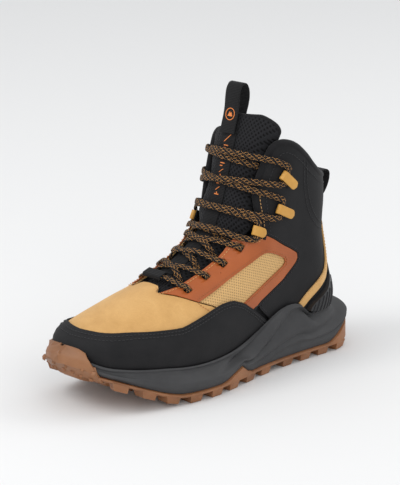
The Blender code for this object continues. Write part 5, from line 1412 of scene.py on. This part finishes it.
def half_lace(start_side):
    """From the bottom bar's eyelet on one side to the tucked end; side +1 starts at the lateral eyelet."""
    g = start_side
    here, there = (E, M) if g > 0 else (M, E)
    mid = HIGH if g > 0 else LOW
    r = Run()
    bar_in = (g, 0.0)
    r.hole(*here[0], bar_in, unit(here[0], there[1]))
    cur = here
    other = there
    for i in range(3):
        r.across(cur[i], other[i + 1], mid, "under", OVER)
        nxt = cur[i + 2] if i < 2 else None
        out_to = cur[i + 2] if i < 2 else (cur[3][0], cur[3][1] + 22)
        r.hole(*other[i + 1], unit(cur[i], other[i + 1]), unit(other[i + 1], out_to))
        cur, other = other, cur
    side = 1 if cur is E else -1
    # level 5 loop on the far side, then the lower hook, then the upper hook
    frames = [loop_frames[-side], hook_frames["lower", side], hook_frames["upper", -side]]
    a = cur[3]
    prev = "under"
    for k, fr in enumerate(frames):
        u0, rise = (4.2, 2.0) if k == 0 else (4.6, 1.9)
        b = hw(fr, rise, -9.5, -5.0)
        r.across(a, b, mid, prev, HELD, f0=0.16, f1=0.92, steps=8)
        r.held(fr, u0, rise)
        a = hw(fr, rise, 9.5, -5.0)
        prev = HELD
        side = -side
    end_side = -1 if a[0] > 0 else 1
    b = (end_side * 30.0, arc_of(36.0, 171.0) + (9 if g > 0 else 2))
    for f in np.linspace(0.06, 1.0, 11):
        x, s = a[0] + f * (b[0] - a[0]), a[1] + f * (b[1] - a[1])
        low = face_at(surf(x, s)) + 1.5
        q = float(smooth(np.array(f), 0.0, 0.35))
        w = float(smooth(np.array(f), 0.55, 0.95))
        r.on(x, s, max((1 - q) * HELD + q * mid, low) * (1 - w) + w * low)
    return r


runs = half_lace(1), half_lace(-1)
bar = Run()
for f in np.linspace(0.1, 0.9, 7):
    x = -E[0][0] + f * 2 * E[0][0]
    s0 = E[0][1] + (KEEPER_S - E[0][1]) * float(np.sin(np.pi * f)) ** 0.7
    bar.on(x, s0, 0.4 + 1.25 * float(np.sin(np.pi * f)))
ctrl = np.vstack([np.array(runs[1].P)[::-1], bar.P, runs[0].P])
ctrl_n = np.vstack([np.array(runs[1].N)[::-1], bar.N, runs[0].N])


def lace_path(P, N, step):
    """A smooth line through the control points, with a width direction that never flips."""
    keep = [0]
    for i in range(1, len(P)):
        if np.linalg.norm(P[i] - P[keep[-1]]) > 0.9:
            keep.append(i)
    P, N = P[keep], N[keep]
    k = len(P)
    D = np.concatenate([[0], np.cumsum(np.linalg.norm(np.diff(P, axis=0), axis=1) ** 0.5)])
    Q = np.vstack([2 * P[0] - P[1], P, 2 * P[-1] - P[-2]])
    t = np.linspace(0, 1, 16, endpoint=False)[:, None]
    pts, nn = [], []
    for i in range(1, len(Q) - 2):
        p0, p1, p2, p3 = Q[i - 1:i + 3]
        d1, d2, d3 = [max(np.linalg.norm(b - a), 1e-9) ** 0.5 for a, b in ((p0, p1), (p1, p2), (p2, p3))]
        m1 = (p2 - p1) + d2 * ((p1 - p0) / d1 - (p2 - p0) / (d1 + d2))
        m2 = (p2 - p1) + d2 * ((p3 - p2) / d3 - (p3 - p1) / (d2 + d3))
        pts.append((2 * t**3 - 3 * t**2 + 1) * p1 + (t**3 - 2 * t**2 + t) * m1 + (-2 * t**3 + 3 * t**2) * p2 + (t**3 - t**2) * m2)
        nn.append(N[i - 1] * (1 - t) + N[i] * t)
    pts, nn = np.vstack(pts + [P[-1:]]), np.vstack(nn + [N[-1:]])
    L = np.concatenate([[0], np.cumsum(np.linalg.norm(np.diff(pts, axis=0), axis=1))])
    T = np.gradient(pts, axis=0)
    T /= np.linalg.norm(T, axis=1, keepdims=True)
    turn = np.concatenate([[0], np.linalg.norm(np.diff(T, axis=0), axis=1)])
    cost = L / step + np.cumsum(turn) * 5.0
    f = np.linspace(0, cost[-1], int(cost[-1]) + 2)
    at_L = np.interp(f, cost, L)
    C, n = [np.stack([np.interp(at_L, L, A[:, j]) for j in range(3)], 1) for A in (pts, nn)]
    T = np.gradient(C, axis=0)
    T /= np.linalg.norm(T, axis=1, keepdims=True)
    n /= np.linalg.norm(n, axis=1, keepdims=True)
    W = np.cross(T, n)
    size = np.linalg.norm(W, axis=1)
    good = size > 0.55
    W /= np.maximum(size, 1e-9)[:, None]
    last = None
    for i in range(len(W)):
        if good[i]:
            if last is not None and W[i].dot(last) < 0:
                W[i] = -W[i]
            last = W[i]
    idx = np.arange(len(W))
    W = np.stack([np.interp(idx, idx[good], W[good, j]) for j in range(3)], 1)
    W[1:-1] = (W[:-2] + 2 * W[1:-1] + W[2:]) / 4
    W -= (W * T).sum(1, keepdims=True) * T
    W /= np.linalg.norm(W, axis=1, keepdims=True)
    return C, T, W, L[-1]


lace_C, lace_Tn, lace_W, lace_long = lace_path(ctrl, ctrl_n, 2.2)
B = np.cross(lace_Tn, lace_W)
# ------------------------------------------------------------------ the lace, braided and slightly domed
def lace_mesh():
    m = len(lace_C)
    L = np.concatenate([[0], np.cumsum(np.linalg.norm(np.diff(lace_C, axis=0), axis=1))])
    B = np.cross(lace_Tn, lace_W)
    prof = [(-1, 0), (-0.86, -0.7), (-0.45, -1), (0, -1.06), (0.45, -1), (0.86, -0.7), (1, 0), (0.86, 0.7), (0.45, 1), (0, 1.06), (-0.45, 1), (-0.86, 0.7)]
    V, F, UV = [], [], []
    c = len(prof)
    for i in range(m):
        for a, b in prof:
            V.append(lace_C[i] + a * 2.55 * lace_W[i] + b * 0.75 * B[i])
    for i in range(m - 1):
        for k in range(c):
            j = (k + 1) % c
            F.append([i * c + k, i * c + j, (i + 1) * c + j, (i + 1) * c + k])
            q = [prof[k][0], prof[j][0]]
            UV.append([(L[i] / 5.2, q[0]), (L[i] / 5.2, q[1]), (L[i + 1] / 5.2, q[1]), (L[i + 1] / 5.2, q[0])])
    F += [list(range(c))[::-1], [(m - 1) * c + k for k in range(c)]]
    UV += [[(0, 0)] * c, [(0, 0)] * c]
    ob = make("lace", V, F, LOOKS["black_lace"])
    lay = ob.data.uv_layers.new(name="run")
    flat = [x for face in UV for uv in face for x in uv]
    if len(flat) == 2 * len(lay.data):
        lay.data.foreach_set("uv", flat)
    return ob


lace_mesh()


# closes a gap that the fine surface has in the film and quarter behind the third lateral eyelet; the boot has no such piece
S = region(BASE, lambda X, Y, Z: 8.6 - np.sqrt((X - 31.1) ** 2 + (Y - 0.4) ** 2 + (Z - 93.1) ** 2))
ob = raw("film_gap_fill_lateral", *S.thick(FILM[0] - 0.6, FILM[1] + 0.03), LOOKS["brown_film"])
boolean(ob, eyelet_cut, "DIFFERENCE")
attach(ob, "boot")


# ------------------------------------------------------------------ stitching
def stitches(name, pts, nrm, mat, long=2.3, gap=0.9, r=0.34):
    """Short rounded dashes along a line of points with outward normals."""
    L = np.concatenate([[0], np.cumsum(np.linalg.norm(np.diff(pts, axis=0), axis=1))])
    n = int(L[-1] / (long + gap))
    V, F = [], []
    for i in range(n):
        f = [i * (long + gap), i * (long + gap) + long * 0.5, i * (long + gap) + long]
        P = np.stack([np.interp(f, L, pts[:, k]) for k in range(3)], 1)
        N = np.stack([np.interp(f, L, nrm[:, k]) for k in range(3)], 1)
        T = P[2] - P[0]
        T /= max(np.linalg.norm(T), 1e-9)
        N1 = N[1] - N[1].dot(T) * T
        N1 /= max(np.linalg.norm(N1), 1e-9)
        S1 = np.cross(T, N1)
        base = len(V)
        for e, (s, up, g) in enumerate(((0.0, -0.15, 0.35), (0.16, 0.12, 0.9), (0.5, 0.25, 1.0), (0.84, 0.12, 0.9), (1.0, -0.15, 0.35))):
            c = P[0] * (1 - s) + P[2] * s + N1 * up
            for k in range(6):
                w = np.pi * k / 3
                V.append(c + r * g * (np.cos(w) * N1 + np.sin(w) * S1))
        for e in range(4):
            for k in range(6):
                j = (k + 1) % 6
                F.append([base + e * 6 + k, base + e * 6 + j, base + (e + 1) * 6 + j, base + (e + 1) * 6 + k])
        F += [[base + k for k in range(6)][::-1], [base + 24 + k for k in range(6)]]
    ob = raw(name, V, F, mat)
    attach(ob, "boot")
    MADE[name] = ob
    return ob


def flanks(line, side):
    """Points and outward normals of the master surface over a side-view line."""
    Y, Z = np.asarray(line, float).T

    def p(y, z):
        return np.stack([centre(y) + side * width(y, z, side), y, z], 1)
    n = np.cross(p(Y + 1, Z) - p(Y - 1, Z), p(Y, Z + 1) - p(Y, Z - 1)) * side
    return p(Y, Z), n / np.linalg.norm(n, axis=1, keepdims=True)


def on_flank(poly, side, off, n=160, smooth_line=True):
    line = spline(poly, n) if smooth_line else resample(np.asarray(poly, float), np.linspace(0, 1, n))
    P, N = flanks(line, side)
    return P + off * N, N


def shifted(poly, by, n=120):
    """A side-view line moved sideways: positive to its left."""
    Q = spline(poly, n)
    d = np.gradient(Q, axis=0)
    d /= np.linalg.norm(d, axis=1, keepdims=True)
    return Q + by * np.stack([-d[:, 1], d[:, 0]], 1)


def contour(field, sheet, level, off):
    """Longest line on the sheet where the field takes a value, as points and normals."""
    X, Y, Z = sheet.fields()
    f = field(X, Y, Z) - level
    f = np.where(np.abs(f) < 1e-6, 1e-6, f)
    segs = {}
    for tri in sheet.T[(np.sign(f[sheet.T]).sum(1) % 3 != 0) | ((f[sheet.T] > 0).any(1) & (f[sheet.T] < 0).any(1))]:
        e = []
        for a, b in ((tri[0], tri[1]), (tri[1], tri[2]), (tri[2], tri[0])):
            if f[a] * f[b] < 0:
                e.append((min(a, b), max(a, b)))
        if len(e) == 2:
            segs.setdefault(e[0], []).append(e[1])
            segs.setdefault(e[1], []).append(e[0])
    best = []
    left = set(segs)
    while left:
        start = next((k for k in left if len(segs[k]) == 1), None) or next(iter(left))
        line, prev, cur = [start], None, start
        left.discard(start)
        while True:
            nx = [k for k in segs[cur] if k in left]
            if not nx:
                break
            cur = nx[0]
            left.discard(cur)
            line.append(cur)
        if len(line) > len(best):
            best = line
    P, N = [], []
    for a, b in best:
        t = f[a] / (f[a] - f[b])
        n = sheet.N[a] + t * (sheet.N[b] - sheet.N[a])
        n = n / np.linalg.norm(n)
        P.append(sheet.P[a] + t * (sheet.P[b] - sheet.P[a]) + off * n)
        N.append(n)
    P, N = np.array(P), np.array(N)
    for _ in range(2):
        P[1:-1] = (P[:-2] + 2 * P[1:-1] + P[2:]) / 4
    return P, N


mud_S = region(BASE, in_mudguard, lambda X, Y, Z: 60 - Y)
for k, d in enumerate((2.0, 4.2)):
    P, N = contour(in_mudguard, BASE, d, MUDGUARD[1] + 0.12)
    keep = P[:, 1] < 45
    stitches("mudguard_stitch_%d" % k, P[keep], N[keep], LOOKS["black_thread"])
for side, tag in ((1, "lateral"), (-1, "medial")):
    half_sheet = region(BASE, lambda X, Y, Z: side * X)
    P, N = contour(lambda X, Y, Z: np.where((Z > 60) & (Y < 45), in_shell(X, Y, Z), 9.0), region(BASE, lambda X, Y, Z: side * X - 8, lambda X, Y, Z: 45 - Y, lambda X, Y, Z: 152 - Z), 2.0, FILM[1] + 0.12)
    stitches("eyestay_stitch_" + tag, P, N, LOOKS["tan_thread"], 2.0, 1.0, 0.3)
    P, N = contour(lambda X, Y, Z: spoly(WINDOW, Y, Z), half_sheet, -1.8, FILM[1] + 0.1)
    stitches("window_stitch_" + tag, P, N, LOOKS["brown_thread"], 1.6, 0.7, 0.28)
    P, N = contour(lambda X, Y, Z: ankle_field(Y, Z), region(BASE, lambda X, Y, Z: side * X, lambda X, Y, Z: 118 - Z, lambda X, Y, Z: Z - 50), 2.0, ANKLE[1] + 0.1)
    stitches("ankle_stitch_" + tag, P, N, LOOKS["black_thread"], 2.0, 0.9, 0.3)
    P, N = contour(lambda X, Y, Z: in_shell(X, Y, Z), region(BASE, lambda X, Y, Z: side * X, lambda X, Y, Z: Z - 118), 7.0, ANKLE[1] + 0.1)
    stitches("collar_stitch_" + tag, P, N, LOOKS["black_thread"], 2.2, 0.9, 0.32)


# ------------------------------------------------------------------ pull loop, emblem, printed marks, piping
Ox, Oy = ORIGIN[0] * MM, ORIGIN[1] * MM


leg = spline([(30.9, 197), (33.0, 204.5), (35.1, 211.5), (36.4, 218), (37.2, 226), (38.6, 232.6), (41.6, 236.7), (45.4, 236.9), (48.3, 232.8),
              (49.0, 226), (47.6, 219), (45.4, 212.5), (44.6, 206)], 90)
V, F = strap(leg, [8.0] * len(leg), 1.3, np.zeros(3), np.array(Y_AXIS, float), np.array(Z_AXIS, float), np.array(X_AXIS, float))
loop = raw("tongue_loop", V, F, WEB)
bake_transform(loop)
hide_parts("tongue_loop")


def patch(outline, place, up, out, thick=0.22):
    """A thin printed shape: (x, along) outline in mm on a small plane."""
    up, out = np.asarray(up, float), np.asarray(out, float)
    out /= np.linalg.norm(out)
    up = up - up.dot(out) * out
    up /= np.linalg.norm(up)
    across = np.cross(up, out)
    across = across if across[0] > 0 else -across
    P = [np.asarray(place, float) + x * across + s * up for x, s in outline]
    n = len(P)
    V = [p + out * thick for p in P] + [p - out * 0.1 for p in P]
    F = [list(range(n)), list(range(n, 2 * n))[::-1]] + [[i, n + i, n + (i + 1) % n, (i + 1) % n] for i in range(n)]
    return V, F


def ring_patch(r0, r1, place, up, out, n=40):
    parts = []
    for k in range(n):
        a, b = 2 * math.pi * k / n, 2 * math.pi * (k + 1) / n
        parts.append(patch([(r0 * math.cos(a), r0 * math.sin(a)), (r1 * math.cos(a), r1 * math.sin(a)), (r1 * math.cos(b), r1 * math.sin(b)),
                            (r0 * math.cos(b), r0 * math.sin(b))], place, up, out))
    return parts


i0 = int(np.argmin(np.abs(leg[:40, 1] - 212.0)))
tan_dir = leg[i0 + 1] - leg[i0 - 1]
up3, out3 = np.array([0, tan_dir[0], tan_dir[1]]), np.array([0, -tan_dir[1], tan_dir[0]])
out3 /= np.linalg.norm(out3)
spot = np.array([0, leg[i0][0], leg[i0][1]]) + out3 * 0.68
emblem = ring_patch(4.5, 5.1, spot, up3, out3)
emblem.append(patch([(-2.6, -1.8), (-0.6, 2.2), (0.2, 0.6), (1.0, 1.8), (2.8, -1.8)], spot, up3, out3))
V, F = join(emblem)
badge = raw("loop_badge", V, F, LOOKS["orange_print"])
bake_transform(badge)

marks = []


def strip_mark(outline, x, s):
    p, n = at(x, s, -0.72), normal(x, s)
    up = surf(x, s + 1.5) - surf(x, s - 1.5)
    marks.append(patch(outline, p, up, n))


s_top = arc_of(31.2, 196)
strip_mark([(-3.4, -3.2), (-2.6, -3.2), (3.4, 3.2), (2.6, 3.2)], 0.6, s_top - 3)
step = 4.9
for k in range(9):
    s = s_top - 10.5 - k * step
    kind = k % 3
    if kind == 0:
        strip_mark([(-2.3, 1.1), (2.3, 1.1), (2.3, 1.9), (-2.3, 1.9)], 0.6, s)
        strip_mark([(-2.3, -1.2), (0.4, -1.2), (0.4, -0.4), (-2.3, -0.4)], 0.6, s)
    elif kind == 1:
        strip_mark([(-2.3, -1.6), (-1.5, -1.6), (2.3, 1.6), (1.5, 1.6)], 0.6, s)
    else:
        strip_mark([(-2.3, -0.4), (2.3, -0.4), (2.3, 0.4), (-2.3, 0.4)], 0.6, s)
        strip_mark([(-0.4, 0.3), (0.4, 0.3), (0.4, 2.0), (-0.4, 2.0)], 0.6, s)
V, F = join(marks)
prints = raw("strip_marks", V, F, LOOKS["orange_print"])
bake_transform(prints)

# piping round the tongue's top
P, N = contour(tongue_shape, region(BASE, lambda X, Y, Z: Z - 172), 0.5, 0.0)
lift = np.array([face_at(p) for p in P])
P = P + N * (lift - 3.1)[:, None]
L = np.concatenate([[0], np.cumsum(np.linalg.norm(np.diff(P, axis=0), axis=1))])
f = np.linspace(0, L[-1], 180)
P, N = [np.stack([np.interp(f, L, A[:, k]) for k in range(3)], 1) for A in (P, N)]
for _ in range(4):
    P[1:-1] = (P[:-2] + 2 * P[1:-1] + P[2:]) / 4
V, F = tube(P, N, np.full(len(P), 2.5), 12)
piping = raw("tongue_piping", V, F, LOOKS["collar_cloth"])
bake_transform(piping)

# sewn seams over the ankle panel
for side, tag in ((1, "lateral"), (-1, "medial")):
    for k, line in enumerate(([(80, 173), (83, 150), (90, 128), (103, 112), (121, 104)], [(84, 171), (87, 150), (94, 130), (106, 116), (122, 108)])):
        P, N = on_flank(line, side, ANKLE[1] + 0.05)
        stitches("ankle_seam_%s_%d" % (tag, k), P, N, LOOKS["black_thread"], 2.2, 0.8, 0.32)
    P, N = on_flank(shifted(STRIPE_FRONT[1:-2], -1.6), side, STRIPE[1] - 0.05)
    stitches("stripe_stitch_" + tag, P, N, LOOKS["tan_thread"], 1.9, 0.9, 0.28)

# ribs on the heel clip
ribs_parts = []
for side in (1, -1):
    for k in range(9):
        y0 = 89 + k * 4.4
        z0, z1 = 41.5, float(np.interp(y0 + 4, [84, 98, 110, 118, 125, 129], [42, 52, 57, 63, 70, 75])) - 1.2
        if z1 - z0 < 3:
            continue
        pts, nn, rr = [], [], []
        zs = np.linspace(z0, z1, 9)
        ys = y0 + (zs - z0) * 0.42
        zs, ys = zs[ys < 131.5], ys[ys < 131.5]
        if len(zs) < 4:
            continue
        PP, NN = flanks(np.stack([ys, zs], 1), side)
        for p, q, z in zip(PP, NN, zs):
            lift = 1.4 + 4.6 * float(smooth(np.array(-z), -74, -48))
            pts.append(p + q * (lift - 0.1))
            nn.append(q)
            rr.append(0.75)
        if len(pts) > 3:
            ribs_parts.append(tube(pts, nn, rr, 6))
V, F = join(ribs_parts)
ribs = raw("heel_clip_ribs", V, F, TPU)
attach(ribs, "boot")

# studs on the rubber bumper
wV, wF = toe_bumper()
wV = np.asarray(wV)
outer = wV[:len(wV) // 2]
fn = np.zeros_like(wV)
for f in np.asarray(wF):
    c = np.cross(wV[f[1]] - wV[f[0]], wV[f[2]] - wV[f[0]])
    for k in f:
        fn[k] += c
fn /= np.maximum(np.linalg.norm(fn, axis=1, keepdims=True), 1e-9)
studs = []
rng = random.Random(3)
spots = []
for p, q in zip(outer, fn[:len(outer)]):
    if 15 < p[2] < 38 and abs(q[2]) < 0.85 and all(np.linalg.norm(p - s) > 6.6 for s in spots):
        spots.append(p)
        turn = rng.uniform(0, math.pi)
        up = np.cross(q, (0, 0, 1))
        up /= max(np.linalg.norm(up), 1e-9)
        vv = np.cross(q, up)
        sides = 5
        r = rng.uniform(2.0, 3.0)
        base = [p + r * (math.cos(turn + 2 * math.pi * k / sides) * up + math.sin(turn + 2 * math.pi * k / sides) * vv) - 0.4 * q for k in range(sides)]
        tip = [p + 0.45 * r * (math.cos(turn + 2 * math.pi * k / sides) * up + math.sin(turn + 2 * math.pi * k / sides) * vv) + 1.3 * q for k in range(sides)]
        studs.append((base + tip, [list(range(sides))[::-1], [sides + k for k in range(sides)]] + [[k, (k + 1) % sides, sides + (k + 1) % sides, sides + k] for k in range(sides)]))
if studs:
    V, F = join(studs)
    nubs = raw("bumper_studs", V, F, RUBBER)
    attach(nubs, "boot")
bev = MADE["outsole"].modifiers.new("soft_edges", "BEVEL")
bev.width, bev.segments, bev.limit_method, bev.angle_limit = 0.6 * MM, 2, "ANGLE", math.radians(32)
for name in ("heel_loop", "lace_keeper"):
    b = MADE[name].modifiers.new("soft_edges", "BEVEL")
    b.width, b.segments, b.limit_method, b.angle_limit = 0.4 * MM, 2, "ANGLE", math.radians(40)


# ------------------------------------------------------------------ camera, light, floor
floor_me = bpy.data.meshes.new("floor")
floor_me.from_pydata([(-4, -4, 0), (4, -4, 0), (4, 4, 0), (-4, 4, 0)], [], [(0, 1, 2, 3)])
floor_me.materials.append(LOOKS["studio_floor"])
floor = bpy.data.objects.new("floor", floor_me)
bpy.context.scene.collection.objects.link(floor)
floor.location.z = -0.0004

AZ, EL, DIST = math.radians(45.5), math.radians(15.3), 1.7
target = Vector(((0 - ORIGIN[0]) * MM, (0 - ORIGIN[1]) * MM, 0.11))
back_dir = Vector((math.sin(AZ) * math.cos(EL), -math.cos(AZ) * math.cos(EL), math.sin(EL)))
cam_data = bpy.data.cameras.new("camera")
cam_data.lens = 186.7
cam_data.sensor_width = 36
cam_data.sensor_fit = "HORIZONTAL"
cam = bpy.data.objects.new("camera", cam_data)
bpy.context.scene.collection.objects.link(cam)
cam.location = target + back_dir * DIST
cam.rotation_euler = (target - cam.location).to_track_quat("-Z", "Y").to_euler()
bpy.context.scene.camera = cam


def area(name, place, size, power, colour=(1, 1, 1)):
    d = bpy.data.lights.new(name, "AREA")
    d.shape = "DISK"
    d.size, d.energy, d.color = size, power, colour
    o = bpy.data.objects.new(name, d)
    bpy.context.scene.collection.objects.link(o)
    o.location = place
    o.rotation_euler = (Vector((0, 0, 0.1)) - Vector(place)).to_track_quat("-Z", "Y").to_euler()
    return o


area("key", (-0.5, -1.3, 1.7), 1.1, 13)
area("fill", (1.7, -0.9, 1.0), 1.4, 7.5)
area("rim", (0.6, 1.6, 1.5), 1.2, 7.5)
world = bpy.data.worlds.new("studio")
world.use_nodes = True
world.node_tree.nodes["Background"].inputs["Color"].default_value = (0.93, 0.94, 0.95, 1)
world.node_tree.nodes["Background"].inputs["Strength"].default_value = 0.87
bpy.context.scene.world = world
bpy.context.scene.view_settings.view_transform = "Standard"

for c in CUTTERS:
    c.hide_render = True
